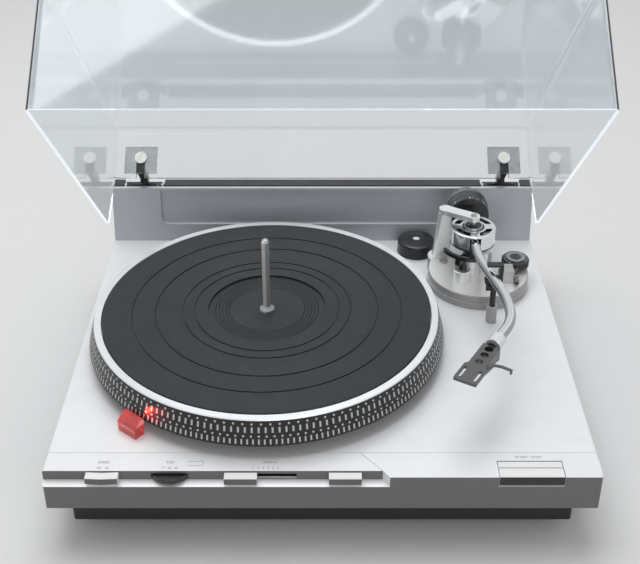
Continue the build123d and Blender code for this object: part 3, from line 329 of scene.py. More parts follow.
def make_surface_grain():
    """Fine grain, broad handling marks and a little dust on faces that look up."""
    group, net, given, result = new_group(
        "surface_grain",
        [
            ("Colour", COLOUR, (0.5, 0.5, 0.5, 1.0)),
            ("Grain Scale", NUMBER, 2500.0),
            ("Speckle", NUMBER, 0.1),
            ("Roughness", NUMBER, 0.4),
            ("Spread", NUMBER, 0.08),
            ("Relief", NUMBER, 0.00001),
            ("Dust", NUMBER, 0.0),
        ],
        [("Colour", COLOUR), ("Roughness", NUMBER), ("Normal", VECTOR)],
    )
    where = net.node("ShaderNodeTexCoord").outputs["Object"]
    fine = net.noise(where, given.outputs["Grain Scale"])
    broad = net.noise(where, HANDLING_SCALE, 3.0)
    tone = net.calc("MULTIPLY", net.calc("SUBTRACT", fine, 0.5), given.outputs["Speckle"])
    faint = net.calc("MULTIPLY", given.outputs["Speckle"], WASH_SHARE)
    wash = net.calc("MULTIPLY", net.calc("SUBTRACT", broad, 0.5), faint)
    shade = net.calc("ADD", net.calc("ADD", tone, wash), 1.0)
    scaled = net.node("ShaderNodeVectorMath", {0: given.outputs["Colour"], "Scale": shade}, operation="SCALE")
    normal = net.node("ShaderNodeNewGeometry").outputs["Normal"]
    up = net.node("ShaderNodeSeparateXYZ", {0: normal}).outputs["Z"]
    patches = net.step(net.noise(where, DUST_SCALE, 4.0), 0.45, 0.75)
    settled = net.calc("MULTIPLY", net.step(up, 0.6, 1.0), patches)
    dusty = net.calc("MULTIPLY", settled, given.outputs["Dust"])
    net.put(result.inputs["Colour"], net.blend(dusty, scaled.outputs[0], DUST))
    handled = net.calc("MULTIPLY", net.calc("SUBTRACT", broad, 0.5), given.outputs["Spread"])
    net.put(result.inputs["Roughness"], net.calc("ADD", given.outputs["Roughness"], handled))
    bump = net.node("ShaderNodeBump", {"Height": fine, "Distance": given.outputs["Relief"], "Strength": 1.0})
    net.put(result.inputs["Normal"], bump.outputs["Normal"])
    return group


def make_turned_rings():
    """Fine rings round an upright axis, as a lathe or a moulding leaves, with the distance from that axis."""
    group, net, given, result = new_group(
        "turned_rings",
        [
            ("Centre", VECTOR, (0.0, 0.0, 0.0)),
            ("Pitch", NUMBER, 0.001),
            ("Depth", NUMBER, 0.00001),
            ("Inner", NUMBER, 0.0),
            ("Outer", NUMBER, 1.0),
            ("Normal", VECTOR, (0.0, 0.0, 1.0)),
        ],
        [("Radius", NUMBER), ("Ring", NUMBER), ("Normal", VECTOR)],
    )
    where = net.node("ShaderNodeTexCoord").outputs["Object"]
    away = net.vector("MULTIPLY", net.vector("SUBTRACT", where, given.outputs["Centre"]), (1.0, 1.0, 0.0))
    radius = net.node("ShaderNodeVectorMath", {0: away}, operation="LENGTH").outputs["Value"]
    turns = net.calc("MULTIPLY", net.calc("DIVIDE", radius, given.outputs["Pitch"]), 2 * math.pi)
    wave = net.calc("SINE", turns)
    inside = net.calc("GREATER_THAN", radius, given.outputs["Inner"])
    outside = net.calc("LESS_THAN", radius, given.outputs["Outer"])
    ring = net.calc("MULTIPLY", wave, net.calc("MULTIPLY", inside, outside))
    inputs = {
        "Height": ring,
        "Distance": given.outputs["Depth"],
        "Strength": 1.0,
        "Normal": given.outputs["Normal"],
    }
    net.put(result.inputs["Radius"], radius)
    net.put(result.inputs["Ring"], ring)
    net.put(result.inputs["Normal"], net.node("ShaderNodeBump", inputs).outputs["Normal"])
    return group


def make_painted_light_facing():
    """Mask for painted light and shade: 1 on faces that look along the direction given, 0 on the others."""
    group, net, given, result = new_group("painted_light_facing", [("Direction", VECTOR, UP)], [("Mask", NUMBER)])
    normal = net.node("ShaderNodeTexCoord").outputs["Normal"]
    painted_light_facing = net.dot(normal, given.outputs["Direction"])
    net.put(result.inputs["Mask"], net.step(painted_light_facing, 0.75, 0.92))
    return group


GROUP_MAKERS = {
    "surface_grain": make_surface_grain,
    "turned_rings": make_turned_rings,
    "painted_light_facing": make_painted_light_facing,
}


def group_node(net, name, inputs=()):
    """Places one of the shared groups, which is built the first time it is asked for."""
    tree = bpy.data.node_groups.get(name) or GROUP_MAKERS[name]()
    made = net.tree.nodes.new("ShaderNodeGroup")
    made.node_tree = tree
    for key, value in dict(inputs).items():
        net.put(made.inputs[key], value)
    return made


def full(colour):
    """A property's three values with full strength behind them."""
    return (colour[0], colour[1], colour[2], 1.0)


class Finish:
    """One material: a Principled shader with the shared grain in front of it."""

    def __init__(
        self, name, colour, roughness, grain=2500.0, speckle=0.08, spread=0.06, relief=0.000008, dust=0.0
    ):
        self.material = bpy.data.materials.new(name)
        self.material.use_nodes = True
        self.net = Net(self.material.node_tree)
        self.shader = self.material.node_tree.nodes["Principled BSDF"]
        self.grain = group_node(
            self.net,
            "surface_grain",
            {
                "Colour": full(colour),
                "Grain Scale": grain,
                "Speckle": speckle,
                "Roughness": roughness,
                "Spread": spread,
                "Relief": relief,
                "Dust": dust,
            },
        )
        self.wire("Base Color", self.grain.outputs["Colour"])
        self.wire("Roughness", self.grain.outputs["Roughness"])
        self.wire("Normal", self.grain.outputs["Normal"])

    def wire(self, socket, value):
        """Sets or links one of the shader's sockets."""
        self.net.put(self.shader.inputs[socket], value)
        return self

    def tint(self, mask, colour):
        """Another colour where the mask is 1."""
        start = self.shader.inputs["Base Color"].links[0].from_socket
        return self.wire("Base Color", self.net.blend(mask, start, full(colour)))

    def tint_painted_light_by_facing(self, direction, colour):
        """Painted light and shade: another colour on the faces that look along the direction."""
        return self.tint(group_node(self.net, "painted_light_facing", {"Direction": direction}).outputs["Mask"], colour)

    def rings(self, centre, pitch, depth, inner=0.0, outer=1.0):
        """Adds turned rings round an upright axis, and returns their group."""
        inputs = {
            "Centre": place(*centre, 0),
            "Pitch": pitch * MM,
            "Depth": depth * MM,
            "Inner": inner * MM,
            "Outer": outer * MM,
            "Normal": self.grain.outputs["Normal"],
        }
        made = group_node(self.net, "turned_rings", inputs)
        self.wire("Normal", made.outputs["Normal"])
        return made


def metal(name, colour, roughness, **grain):
    """A finish of bare or plated metal."""
    return Finish(name, colour, roughness, **grain).wire("Metallic", 1.0)


def dress(material, *nodes):
    """Gives CAD nodes a finish through their objects' own slots."""
    for node in nodes:
        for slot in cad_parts[node].material_slots:
            slot.link = "OBJECT"
            slot.material = material


class TURNTABLE_OT_panels(bpy.types.Operator):
    """Satin silver deck, front strip, rear wall and keys"""

    bl_idname = "turntable.panels"
    bl_label = "Silver panels and keys"

    def execute(self, context):
        look = colours()
        deck = Finish("deck_silver", look.deck, 0.5, grain=3200, speckle=0.10, relief=0.000012, dust=0.05)
        deck.wire("Metallic", 0.2)
        dress(deck.material, "plinth_casing")
        strip = Finish("strip_silver_painted_shade", look.deck, 0.46, grain=3200, speckle=0.08, relief=0.00001, dust=0.03)
        strip.wire("Metallic", 0.2)
        # Painted shade: faces looking to the front are painted darker than the strip's top
        strip.tint_painted_light_by_facing(FRONT, look.front)
        dress(strip.material, "front_strip")
        wall = Finish("rear_wall_silver_painted_highlight", look.fascia, 0.34, grain=2800, speckle=0.06, relief=0.000008)
        wall.wire("Metallic", 0.45)
        # Painted highlight: faces of the rear wall that look up are painted in the brighter deck silver
        wall.tint_painted_light_by_facing(UP, look.deck)
        dress(wall.material, "rear_fascia")
        start = Finish("start_key_silver_painted_shade", look.key, 0.34, grain=3500, speckle=0.05, relief=0.000005)
        # Painted shade: the start key's front face is painted dark
        start.tint_painted_light_by_facing(FRONT, look.key_front_shade)
        dress(start.material, "start_key")
        caps = Finish("key_cap_silver_painted_shade", look.key, 0.34, grain=3500, speckle=0.05, relief=0.000005)
        # Painted shade: the caps' front faces are painted darker grey
        caps.tint_painted_light_by_facing(FRONT, look.cap_front_shade)
        dress(caps.material, "speed_rocker", "memo_slider", "reject_key")
        return {"FINISHED"}


class TURNTABLE_OT_plastics(bpy.types.Operator):
    """Black plastic, rubber, board and the small printed parts"""

    bl_idname = "turntable.plastics"
    bl_label = "Plastic and rubber"

    def execute(self, context):
        look = colours()
        black = Finish(
            "black_plastic", look.plastic, 0.45, grain=2200, speckle=0.3, relief=0.00003, dust=0.04
        )
        dress(black.material, "base_tray", "rear_housing", "hinge_holders")
        dress(black.material, "pivot_neck", "gimbal_yoke", "arm_rest_clip")
        smooth = Finish("smooth_black", look.plastic, 0.24, grain=1800, speckle=0.15, relief=0.000006)
        smooth.wire("Coat Weight", 0.3)
        dress(smooth.material, "antiskate_knob", "force_dial", "cue_lever", "lift_bar", "size_wheel")
        adapter = Finish("adapter_black", look.plastic, 0.3, grain=1800, speckle=0.2, relief=0.000008)
        adapter.rings(ADAPTER_AT, 1.1, 0.015)
        dress(adapter.material, "adapter_45")
        rubber = Finish(
            "black_rubber", look.plastic, 0.62, grain=1600, speckle=0.35, relief=0.00004, dust=0.1
        )
        dress(rubber.material, "feet", "cord_glands")
        sheet = Finish("mat_rubber", look.mat, 0.58, grain=2600, speckle=0.25, relief=0.00002, dust=0.012)
        sheet.wire("Specular IOR Level", 0.35)
        inner, outer = LABEL_RADIUS + LABEL_EDGE, MAT_RADIUS - MAT_EDGE
        rings = sheet.rings((PLATTER_X, PLATTER_BACK), 1.15, 0.045, inner, outer)
        # Painted highlight: the mat's ring crests are painted lighter, a sheen the ridges would catch
        crest_sheen = sheet.net.calc("MULTIPLY", rings.outputs["Ring"], 0.25)
        sheet.tint(sheet.net.calc("MAXIMUM", crest_sheen, 0.0), [MAT_CREST_SHEEN * value for value in look.mat])
        dress(sheet.material, "platter_mat")
        board = Finish("phenolic_board", (0.24, 0.15, 0.06), 0.5, grain=900, speckle=0.4, relief=0.00002)
        dress(board.material, "circuit_board")
        wire = Finish("enamelled_wire", (0.45, 0.2, 0.09), 0.35, grain=1500, speckle=0.3, relief=0.00005)
        dress(wire.material, "stator_coils")
        sleeve = Finish("sleeve_black", look.plastic, 0.4, grain=2000, speckle=0.2)
        dress(sleeve.material, "weight_sleeve", "antiskate_neck")
        white = Finish("screw_white", (0.90, 0.89, 0.85), 0.35, grain=1500, speckle=0.06, relief=0.00001)
        dress(white.material, "cover_screws")
        return {"FINISHED"}


class TURNTABLE_OT_metals(bpy.types.Operator):
    """Platter, tonearm, base disc and screws"""

    bl_idname = "turntable.metals"
    bl_label = "Metal parts"

    def execute(self, context):
        look = colours()
        disc = metal("platter_metal", look.metal, 0.32, grain=2600, speckle=0.05, relief=0.000002)
        away = disc.rings((PLATTER_X, PLATTER_BACK), 0.9, 0.002).outputs["Radius"]
        black = disc.net.step(away, BAND_PRINT_RADIUS * MM, (BAND_PRINT_RADIUS + SHARP_EDGE) * MM)
        disc.tint(black, look.band)
        disc.wire("Metallic", disc.net.calc("SUBTRACT", 1.0, black))
        dress(disc.material, "platter")
        painted_light_chrome = metal(
            "polished_metal_painted_light", look.painted_light_chrome, 0.17, grain=1500, speckle=0.04, spread=0.1, relief=0.000002
        )
        # Painted highlight: up-facing faces of the plating are painted bright, the others keep the darker
        # painted shade
        painted_light_chrome.tint_painted_light_by_facing(UP, look.metal)
        dress(painted_light_chrome.material, "arm_tube", "rear_shaft", "gimbal_pins")
        spindle = metal("spindle_metal_painted_highlight", look.painted_light_chrome, 0.24, grain=1800, speckle=0.04, relief=0.000002)
        # Painted highlight: the spindle's side towards the light is painted near white over the shaded
        # plating
        spindle.tint_painted_light_by_facing(SPINDLE_PAINTED_HIGHLIGHT, (0.92, 0.91, 0.88))
        spindle.wire("Metallic", 0.45)
        dress(spindle.material, "changer_spindle")
        collar = metal("collar_metal", look.metal, 0.3, grain=1800, speckle=0.04, relief=0.000002)
        collar.wire("Metallic", 0.6)
        dress(collar.material, "locking_collar")
        ring = metal("gimbal_ring_metal_painted_highlight", look.metal, 0.2, grain=1800, speckle=0.04, relief=0.000002)
        away = ring.rings((ARM_X, PIVOT_BACK), 0.6, 0.002).outputs["Radius"]
        boss = ring.net.step(away, (BOSS_RADIUS + SHARP_EDGE) * MM, BOSS_RADIUS * MM)
        # Painted highlight: a thin ring inside the black boss stays bright metal
        boss_highlight_ring = ring.net.calc("COMPARE", away, BOSS_HIGHLIGHT_RADIUS * MM)
        boss_highlight_ring.node.inputs[2].default_value = BOSS_HIGHLIGHT_HALF * MM
        cap = ring.net.calc("MULTIPLY", boss, ring.net.calc("SUBTRACT", 1.0, boss_highlight_ring))
        ring.tint(cap, look.plastic)
        ring.wire("Metallic", ring.net.calc("SUBTRACT", 1.0, cap))
        dress(ring.material, "gimbal_ring")
        satin = metal("satin_metal", look.base, 0.32, grain=2600, speckle=0.06, relief=0.000004)
        satin.wire("Metallic", 0.75)
        dress(satin.material, "pivot_bracket", "pivot_pillar", "lifter_cylinder")
        brown = metal("rest_post_metal", (0.38, 0.365, 0.35), 0.34, grain=2200, speckle=0.08, relief=0.000004)
        dress(brown.material, "arm_rest_post")
        cap = metal("bias_cap_metal", (0.09, 0.09, 0.095), 0.3, grain=2200, speckle=0.08, relief=0.000004)
        away = cap.rings(BIAS_AT, 0.5, 0.002).outputs["Radius"]
        outside = cap.net.step(away, BIAS_RING_RADIUS * MM, (BIAS_RING_RADIUS + SOFT_EDGE) * MM)
        cap.tint(outside, (0.34, 0.34, 0.35))
        dress(cap.material, "antiskate_cap")
        base = metal("base_disc_metal_painted_light", look.base_side_painted_shade, 0.3, grain=2600, speckle=0.05, relief=0.000004)
        base.rings(BASE_AT, 0.8, 0.004)
        # Painted light: the up-facing top is painted bright, the side keeps the darker painted shade
        base.tint_painted_light_by_facing(UP, look.base)
        base.wire("Metallic", 0.35)
        dress(base.material, "tonearm_base")
        weight = metal("weight_metal", (0.10, 0.10, 0.105), 0.3, grain=2000, speckle=0.1, relief=0.00001)
        dress(weight.material, "counterweight", "arm_hub")
        shell = metal("headshell_metal", look.shell, 0.33, grain=2400, speckle=0.12, relief=0.000012)
        dress(shell.material, "headshell", "finger_lift")
        zinc = metal("zinc_screws", (0.46, 0.46, 0.455), 0.34, grain=1800, speckle=0.1)
        dress(
            zinc.material,
            "tray_screws",
            "start_key_wire",
            "hinge_pins",
            "motor_shaft",
            "bearing_housing",
            "motor_stator",
            "pivot_screw",
            "bracket_screw",
            "cue_block",
        )
        iron = metal("laminated_iron", (0.16, 0.16, 0.165), 0.5, grain=900, speckle=0.3, relief=0.00003)
        dress(iron.material, "transformer", "rotor_magnet")
        return {"FINISHED"}


def clear_finish(name, tint, roughness, passing):
    """A clear plastic that lets lamps' light through, so its shadow stays pale."""
    made = Finish(name, tint, roughness, grain=900, speckle=0.01, spread=0.03, relief=0.0)
    made.wire("Transmission Weight", 1.0)
    made.wire("IOR", 1.49)
    net = made.net
    path = net.node("ShaderNodeLightPath")
    through = net.node("ShaderNodeBsdfTransparent", {"Color": full(passing)})
    soft = net.calc("MAXIMUM", path.outputs["Is Shadow Ray"], path.outputs["Is Diffuse Ray"])
    inputs = {0: soft, 1: made.shader.outputs["BSDF"], 2: through.outputs["BSDF"]}
    mixed = net.node("ShaderNodeMixShader", inputs)
    output = net.tree.nodes["Material Output"]
    net.put(output.inputs["Surface"], mixed.outputs["Shader"])
    return made


class TURNTABLE_OT_clear_parts(bpy.types.Operator):
    """Clear cover, its grey hinge plates and the red lamp window"""

    bl_idname = "turntable.clear_parts"
    bl_label = "Clear parts"

    def execute(self, context):
        look = colours()
        cover = clear_finish("cover_clear", look.cover, 0.04, (0.93, 0.94, 0.95))
        net = cover.net
        opened = Matrix.Rotation(math.radians(-COVER_OPEN), 3, "X")
        down = opened @ Vector((0, 0, -1))
        slant = opened @ Vector((0, COVER_SLANT_RISE, -COVER_SLANT_RUN)).normalized()
        where = net.node("ShaderNodeTexCoord").outputs["Object"]
        from_hinge = net.vector("SUBTRACT", where, place(0, *COVER_HINGE))
        depth = net.dot(from_hinge, down)
        # Painted highlight: masks for the rim's lower faces and the slanted end faces, which glow by emission
        rim_highlight_mask = group_node(net, "painted_light_facing", {"Direction": down}).outputs["Mask"]
        rim_highlight_mask = net.calc("MULTIPLY", rim_highlight_mask, net.calc("GREATER_THAN", depth, COVER_RIM_DEPTH * MM))
        behind = net.dot(from_hinge, opened @ Vector((0, 1, 0)))
        ends_highlight_mask = group_node(net, "painted_light_facing", {"Direction": slant}).outputs["Mask"]
        ends_highlight_mask = net.calc("MULTIPLY", ends_highlight_mask, net.calc("GREATER_THAN", behind, -COVER_SLANT_REACH * MM))
        ends_highlight_mask = net.calc("MULTIPLY", ends_highlight_mask, net.calc("GREATER_THAN", depth, 0.0))
        painted_edge_highlight = net.calc("MAXIMUM", rim_highlight_mask, ends_highlight_mask)
        # Painted highlight: these edges glow with emission though the cover is no lamp
        cover.wire("Emission Color", net.blend(painted_edge_highlight, BLACK, full(look.cover_edge_highlight)))
        cover.wire("Emission Strength", 0.85)
        dress(cover.material, "dust_cover")
        plates = clear_finish("hinge_plate_clear", (0.55, 0.57, 0.58), 0.16, (0.7, 0.7, 0.7))
        net = plates.net
        where = net.node("ShaderNodeSeparateXYZ", {0: net.node("ShaderNodeTexCoord").outputs["Object"]})
        off_side = net.calc("SUBTRACT", net.calc("ABSOLUTE", where.outputs["X"]), HINGE_X * MM)
        stem = net.calc("LESS_THAN", net.calc("ABSOLUTE", off_side), HINGE_STEM_HALF * MM)
        stem = net.calc("MULTIPLY", stem, net.calc("LESS_THAN", where.outputs["Z"], HINGE_STEM_TOP * MM))
        foot = net.calc("LESS_THAN", where.outputs["Z"], HINGE_FOOT_TOP * MM)
        plates.tint(net.calc("MAXIMUM", stem, foot), look.plastic)
        dress(plates.material, "cover_hinge_plates")
        lamp = Finish("lamp_red", look.lamp, 0.1, grain=600, speckle=0.25, relief=0.00001)
        lamp.wire("Transmission Weight", 0.85)
        lamp.wire("IOR", 1.49)
        lamp.wire("Emission Color", LAMP_GLOW)
        lamp.wire("Emission Strength", 0.1)
        dress(lamp.material, "strobe_prism")
        return {"FINISHED"}


def new_piece(name, mesh, material, body):
    """Puts a finished mesh into the scene on a CAD body."""
    made = bpy.data.meshes.new(name)
    bmesh.ops.recalc_face_normals(mesh, faces=mesh.faces)
    mesh.to_mesh(made)
    mesh.free()
    piece = bpy.data.objects.new(name, made)
    bpy.context.scene.collection.objects.link(piece)
    made.materials.append(material)
    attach(piece, body)
    return piece


def add_prism(mesh, corners, thick, matrix):
    """A closed flat form: its outline in the matrix's XY plane, raised along its Z."""
    low = [mesh.verts.new(matrix @ Vector((x, y, -thick))) for x, y in corners]
    high = [mesh.verts.new(matrix @ Vector((x, y, thick))) for x, y in corners]
    mesh.faces.new(low[::-1])
    mesh.faces.new(high)
    for here in range(len(corners)):
        after = (here + 1) % len(corners)
        mesh.faces.new((low[here], low[after], high[after], high[here]))


def round_bar(width, height, steps):
    """The outline of an upright bar with round ends, or of a dot where both are the same."""
    radius = width / 2
    reach = height / 2 - radius
    corners = []
    for n in range(2 * steps):
        angle = math.pi * (n + 0.5) / steps
        lift = reach if math.sin(angle) > 0 else -reach
        corners.append((radius * math.cos(angle), lift + radius * math.sin(angle)))
    return corners


def outward(angle):
    """The way out from an upright axis at an angle."""
    return Vector((math.cos(angle), math.sin(angle), 0))


def flat_bar(half_length, half_width):
    """The outline of a plain bar, long side first."""
    return [
        (-half_length, -half_width),
        (half_length, -half_width),
        (half_length, half_width),
        (-half_length, half_width),
    ]


def add_words(mesh, words, height, matrix, thick):
    """Letters as a raised form, centred on the matrix's place in its XY plane."""
    curve = bpy.data.curves.new("letters", "FONT")
    curve.body = words
    curve.size = height * FONT_SIZE
    curve.align_x = "CENTER"
    curve.align_y = "CENTER"
    curve.extrude = thick
    curve.resolution_u = 3
    holder = bpy.data.objects.new("letters", curve)
    letters = bpy.data.meshes.new_from_object(holder)
    letters.transform(matrix)
    mesh.from_mesh(letters)
    bpy.data.objects.remove(holder)
    bpy.data.curves.remove(curve)
    bpy.data.meshes.remove(letters)


def line_matrix(origin, right, up):
    """A matrix with its X and Y along the two directions given."""
    x = Vector(right).normalized()
    y = Vector(up).normalized()
    made = Matrix((x, y, x.cross(y))).transposed().to_4x4()
    made.translation = origin
    return made


class TURNTABLE_OT_strobe_marks(bpy.types.Operator):
    """Four rows of silver marks round the platter's band"""

    bl_idname = "turntable.strobe_marks"
    bl_label = "Strobe marks"

    def execute(self, context):
        mesh = bmesh.new()
        fall = Vector((BAND_LOW[0] - BAND_HIGH[0], BAND_LOW[1] - BAND_HIGH[1]))
        for kind, count, share, height, width in STROBE_ROWS:
            radius = BAND_HIGH[0] + share * fall.x
            level = BAND_HIGH[1] + share * fall.y
            outline = [(x * MM, y * MM) for x, y in round_bar(width, height, 4 if kind == "dot" else 2)]
            for n in range(count):
                angle = 2 * math.pi * n / count
                out = outward(angle)
                along = Vector((-out.y, out.x, 0))
                up = Vector(UP) * -fall.y - out * fall.x
                spot = place(PLATTER_X, PLATTER_BACK, level) + out * radius * MM
                add_prism(mesh, outline, marks().proud, line_matrix(spot, along, up))
        silver = Finish("strobe_mark_silver", colours().marks, 0.35, grain=2000, speckle=0.06)
        silver.wire("Metallic", 0.4)
        new_piece("strobe_marks", mesh, silver.material, "platter")
        return {"FINISHED"}


class TURNTABLE_OT_panel_marks(bpy.types.Operator):
    """Small generic words, numbers and lines on the front strip"""

    bl_idname = "turntable.panel_marks"
    bl_label = "Marks on the strip"

    WORDS = (
        ("SPEED", -168.8, 16.2, 1.0),
        ("33   45", -168.8, 10.0, 1.0),
        ("SIZE", -117.5, 16.2, 1.0),
        ("17  25  30", -117.5, 10.0, 0.95),
        ("REPEAT", -40.0, 16.2, 1.0),
        ("1   2   3   4   5   6", -43.5, 10.0, 0.85),
        ("START / STOP", 160.3, 22.0, 1.0),
    )
    LINES = (
        ((29.6, 27.0), (46.2, 7.2)),
        ((-104.0, 17.4), (-92.0, 17.4)),
        ((-104.0, 12.6), (-92.0, 12.6)),
        ((-92.0, 12.6), (-92.0, 17.4)),
    )

    def execute(self, context):
        size = marks()
        mesh = bmesh.new()
        for words, x, back, share in self.WORDS:
            spot = Matrix.Translation(place(x, back, 0))
            add_words(mesh, words, size.letter * share, spot, size.proud)
        for (x0, back0), (x1, back1) in self.LINES:
            start, end = place(x0, back0, 0), place(x1, back1, 0)
            along = end - start
            side = Vector(UP).cross(along)
            outline = flat_bar(along.length / 2, LINE_HALF * MM)
            add_prism(mesh, outline, size.proud / 2, line_matrix((start + end) / 2, along, side))
        ink = Finish("printed_ink", (0.30, 0.30, 0.31), 0.5, grain=4000, speckle=0.2)
        new_piece("strip_marks", mesh, ink.material, "plinth")
        return {"FINISHED"}


def around_arm(radius, back, angle):
    """A place on a cylinder round the tonearm's rear line, with the way out from it."""
    out = Vector((math.sin(angle), 0, math.cos(angle)))
    return place(ARM_X, back, ARM_HEIGHT) + out * radius * MM, out


class TURNTABLE_OT_weight_marks(bpy.types.Operator):
    """Grip ribs round the weight and its knob, and the numbers on the dial"""

    bl_idname = "turntable.weight_marks"
    bl_label = "Weight and dial"

    def execute(self, context):
        size = marks()
        mesh = bmesh.new()
        knob_ribs = size.weight_ribs * 2 // 3
        bands = (
            (WEIGHT_RADIUS, WEIGHT_FRONT + WEIGHT_SMOOTH, WEIGHT_MIDDLE - WEIGHT_CHAMFER, size.weight_ribs),
            (KNOB_RADIUS, WEIGHT_MIDDLE + RIB_MARGIN, WEIGHT_REAR - KNOB_EDGE, knob_ribs),
        )
        for radius, front, rear, count in bands:
            width = 2 * math.pi * radius / count * RIB_FILL * MM
            outline = flat_bar((rear - front) / 2 * MM, width / 2)
            for n in range(count):
                spot, out = around_arm(radius, (front + rear) / 2, 2 * math.pi * n / count)
                around = out.cross(Vector((0, 1, 0)))
                add_prism(mesh, outline, size.rib, line_matrix(spot, (0, 1, 0), around))
        ribs = metal("weight_rib_metal", (0.34, 0.34, 0.35), 0.32, grain=2000, speckle=0.1)
        new_piece("weight_grip", mesh, ribs.material, "weight")

        mesh = bmesh.new()
        steps = len(DIAL_NUMBERS) * DIAL_STEPS
        for n in range(steps):
            angle = 2 * math.pi * n / steps
            spot, out = around_arm(DIAL_RADIUS, DIAL_FRONT + DIAL_MARK_BACK, angle)
            around = out.cross(Vector((0, 1, 0)))
            length = SHORT_MARK if n % DIAL_STEPS else LONG_MARK
            outline = flat_bar(length / 2 * MM, DIAL_MARK_HALF * MM)
            add_prism(mesh, outline, size.proud, line_matrix(spot, (0, 1, 0), around))
            if n % DIAL_STEPS == 0:
                spot, out = around_arm(DIAL_RADIUS, DIAL_FRONT + DIAL_NUMBER_BACK, angle)
                turned = line_matrix(spot, Vector((0, 1, 0)).cross(out), (0, 1, 0))
                add_words(mesh, DIAL_NUMBERS[n // DIAL_STEPS], DIAL_LETTER * MM, turned, size.proud)
        paint = Finish("mark_white", PAINT_WHITE, 0.5, grain=3000, speckle=0.08)
        new_piece("dial_numbers", mesh, paint.material, "dial")
        return {"FINISHED"}


class TURNTABLE_OT_bias_marks(bpy.types.Operator):
    """Grip ribs and numbers of the bias knob"""

    bl_idname = "turntable.bias_marks"
    bl_label = "Bias knob"

    def execute(self, context):
        size = marks()
        mesh = bmesh.new()
        middle = (BIAS_LOW + BIAS_TOP - BIAS_EDGE) / 2
        width = math.pi * BIAS_RADIUS / size.bias_ribs * MM
        half = (BIAS_TOP - BIAS_EDGE - BIAS_LOW - RIB_MARGIN) / 2 * MM
        outline = flat_bar(width / 2, half)
        for n in range(size.bias_ribs):
            angle = 2 * math.pi * n / size.bias_ribs
            out = outward(angle)
            spot = place(*BIAS_AT, middle) + out * BIAS_RADIUS * MM
            add_prism(mesh, outline, size.rib / 2, line_matrix(spot, Vector(UP).cross(out), (0, 0, 1)))
        ribs = Finish("knob_rib_black", colours().plastic, 0.4, grain=1800, speckle=0.2)
        new_piece("bias_grip", mesh, ribs.material, "bias")

        mesh = bmesh.new()
        outline = flat_bar(BIAS_MARK / 2 * MM, BIAS_MARK_HALF * MM)
        for n in range((len(BIAS_NUMBERS) - 1) * BIAS_STEPS + 1):
            angle = math.radians(BIAS_FIRST_ANGLE - BIAS_STEP_ANGLE * n)
            out = outward(angle)
            if n % BIAS_STEPS == 0:
                spot = place(*BIAS_AT, BIAS_TOP) + out * BIAS_NUMBER_RADIUS * MM
                turned = line_matrix(spot, Vector(UP).cross(out) * -1, out)
                add_words(mesh, BIAS_NUMBERS[n // BIAS_STEPS], BIAS_LETTER * MM, turned, size.proud)
            else:
                spot = place(*BIAS_AT, BIAS_TOP) + out * BIAS_MARK_RADIUS * MM
                add_prism(mesh, outline, size.proud, line_matrix(spot, out, Vector(UP).cross(out)))
        paint = Finish("knob_mark_white", PAINT_WHITE, 0.5, grain=3000, speckle=0.08)
        new_piece("bias_numbers", mesh, paint.material, "bias")
        return {"FINISHED"}


def aim(thing, spot, target):
    """Stands a lamp or a camera at a spot, looking at a target."""
    thing.location = spot
    thing.rotation_euler = (Vector(target) - Vector(spot)).to_track_quat("-Z", "Y").to_euler()


def add_lamp(name, kind, power, spot, target, **settings):
    """A lamp with its power in watts."""
    data = bpy.data.lights.new(name, kind)
    data.energy = power
    for key, value in settings.items():
        setattr(data, key, value)
    lamp = bpy.data.objects.new(name, data)
    bpy.context.scene.collection.objects.link(lamp)
    aim(lamp, spot, target)


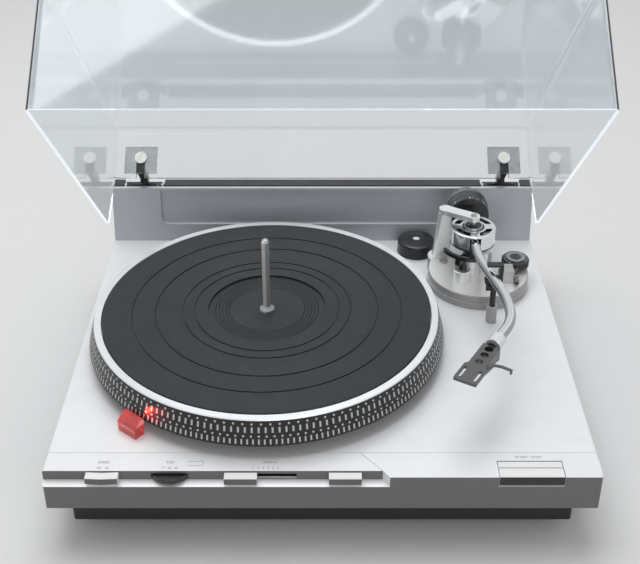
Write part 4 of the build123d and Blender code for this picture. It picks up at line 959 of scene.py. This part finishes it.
class TURNTABLE_OT_stage(bpy.types.Operator):
    """Pale floor, soft light and the camera at the photograph's angle"""

    bl_idname = "turntable.stage"
    bl_label = "Studio and camera"

    def execute(self, context):
        scene = context.scene
        studio = scene.turntable_studio
        scene.view_settings.view_transform = "Standard"

        mesh = bmesh.new()
        mesh.faces.new([mesh.verts.new((x, y, 0)) for x, y in flat_bar(FLOOR_REACH, FLOOR_REACH)])
        ground = bpy.data.meshes.new("floor")
        mesh.to_mesh(ground)
        mesh.free()
        floor = bpy.data.objects.new("floor", ground)
        scene.collection.objects.link(floor)
        pale = Finish("pale_floor", studio.floor, 0.7, grain=40, speckle=0.01, relief=0.0)
        pale.wire("Specular IOR Level", 0.2)
        ground.materials.append(pale.material)

        add_lamp(
            "key", "AREA", studio.key_power, KEY_SPOT, KEY_TARGET,
            shape="RECTANGLE", size=1.7, size_y=1.2,
        )
        add_lamp(
            "fill", "AREA", studio.fill_power, FILL_SPOT, FILL_TARGET,
            shape="RECTANGLE", size=1.4, size_y=0.9,
        )
        above_lamp = place(*LAMP_AT, LAMP_TOP) + Vector((-2, -4, 6)) * MM
        add_lamp(
            "strobe_glow", "SPOT", studio.glow_power, above_lamp, place(*LIT_BAND),
            color=(1.0, 0.06, 0.04), spot_size=math.radians(34), spot_blend=0.3, shadow_soft_size=0.002,
        )

        world = bpy.data.worlds.new("studio")
        scene.world = world
        world.use_nodes = True
        net = Net(world.node_tree)
        path = net.node("ShaderNodeLightPath")
        seen = net.calc("MAXIMUM", path.outputs["Is Camera Ray"], path.outputs["Is Glossy Ray"])
        seen = net.calc("MAXIMUM", seen, path.outputs["Is Transmission Ray"])
        even = net.node("ShaderNodeBackground", {"Color": WHITE, "Strength": studio.sky})
        shown = net.node("ShaderNodeBackground", {"Color": full(studio.floor), "Strength": 1.0})
        mixed = net.node("ShaderNodeMixShader", {0: seen, 1: even.outputs[0], 2: shown.outputs[0]})
        net.put(world.node_tree.nodes["World Output"].inputs["Surface"], mixed.outputs[0])

        data = bpy.data.cameras.new("camera")
        data.lens = studio.lens
        data.sensor_width = SENSOR_WIDTH
        data.sensor_fit = "HORIZONTAL"
        data.shift_x, data.shift_y = CAMERA_SHIFT
        data.clip_start = 0.05
        camera = bpy.data.objects.new("camera", data)
        camera.location = CAMERA_SPOT
        camera.rotation_euler = (math.radians(CAMERA_TILT), 0.0, 0.0)
        scene.collection.objects.link(camera)
        scene.camera = camera
        return {"FINISHED"}


STEPS = (
    TURNTABLE_OT_panels,
    TURNTABLE_OT_plastics,
    TURNTABLE_OT_metals,
    TURNTABLE_OT_clear_parts,
    TURNTABLE_OT_strobe_marks,
    TURNTABLE_OT_panel_marks,
    TURNTABLE_OT_weight_marks,
    TURNTABLE_OT_bias_marks,
    TURNTABLE_OT_stage,
)


class TURNTABLE_PT_steps(bpy.types.Panel):
    """Lists the colours, the sizes and the steps"""

    bl_idname = "TURNTABLE_PT_steps"
    bl_label = "Turntable"
    bl_space_type = "VIEW_3D"
    bl_region_type = "UI"
    bl_category = "Turntable"

    def draw(self, context):
        scene = context.scene
        for group in (scene.turntable_colours, scene.turntable_marks, scene.turntable_studio):
            box = self.layout.box()
            for name in group.__annotations__:
                box.prop(group, name)
        for step in STEPS:
            self.layout.operator(step.bl_idname)


GROUPS = {
    "turntable_colours": TurntableColours,
    "turntable_marks": TurntableMarks,
    "turntable_studio": TurntableStudio,
}
CLASSES = (*GROUPS.values(), *STEPS, TURNTABLE_PT_steps)


def register():
    for made in CLASSES:
        bpy.utils.register_class(made)
    for name, group in GROUPS.items():
        setattr(bpy.types.Scene, name, bpy.props.PointerProperty(type=group))


def unregister():
    for name in GROUPS:
        delattr(bpy.types.Scene, name)
    for made in reversed(CLASSES):
        bpy.utils.unregister_class(made)


def main():
    register()
    bpy.ops.turntable.panels()
    bpy.ops.turntable.plastics()
    bpy.ops.turntable.metals()
    bpy.ops.turntable.clear_parts()
    bpy.ops.turntable.strobe_marks()
    bpy.ops.turntable.panel_marks()
    bpy.ops.turntable.weight_marks()
    bpy.ops.turntable.bias_marks()
    bpy.ops.turntable.stage()


if __name__ == "__main__":
    main()
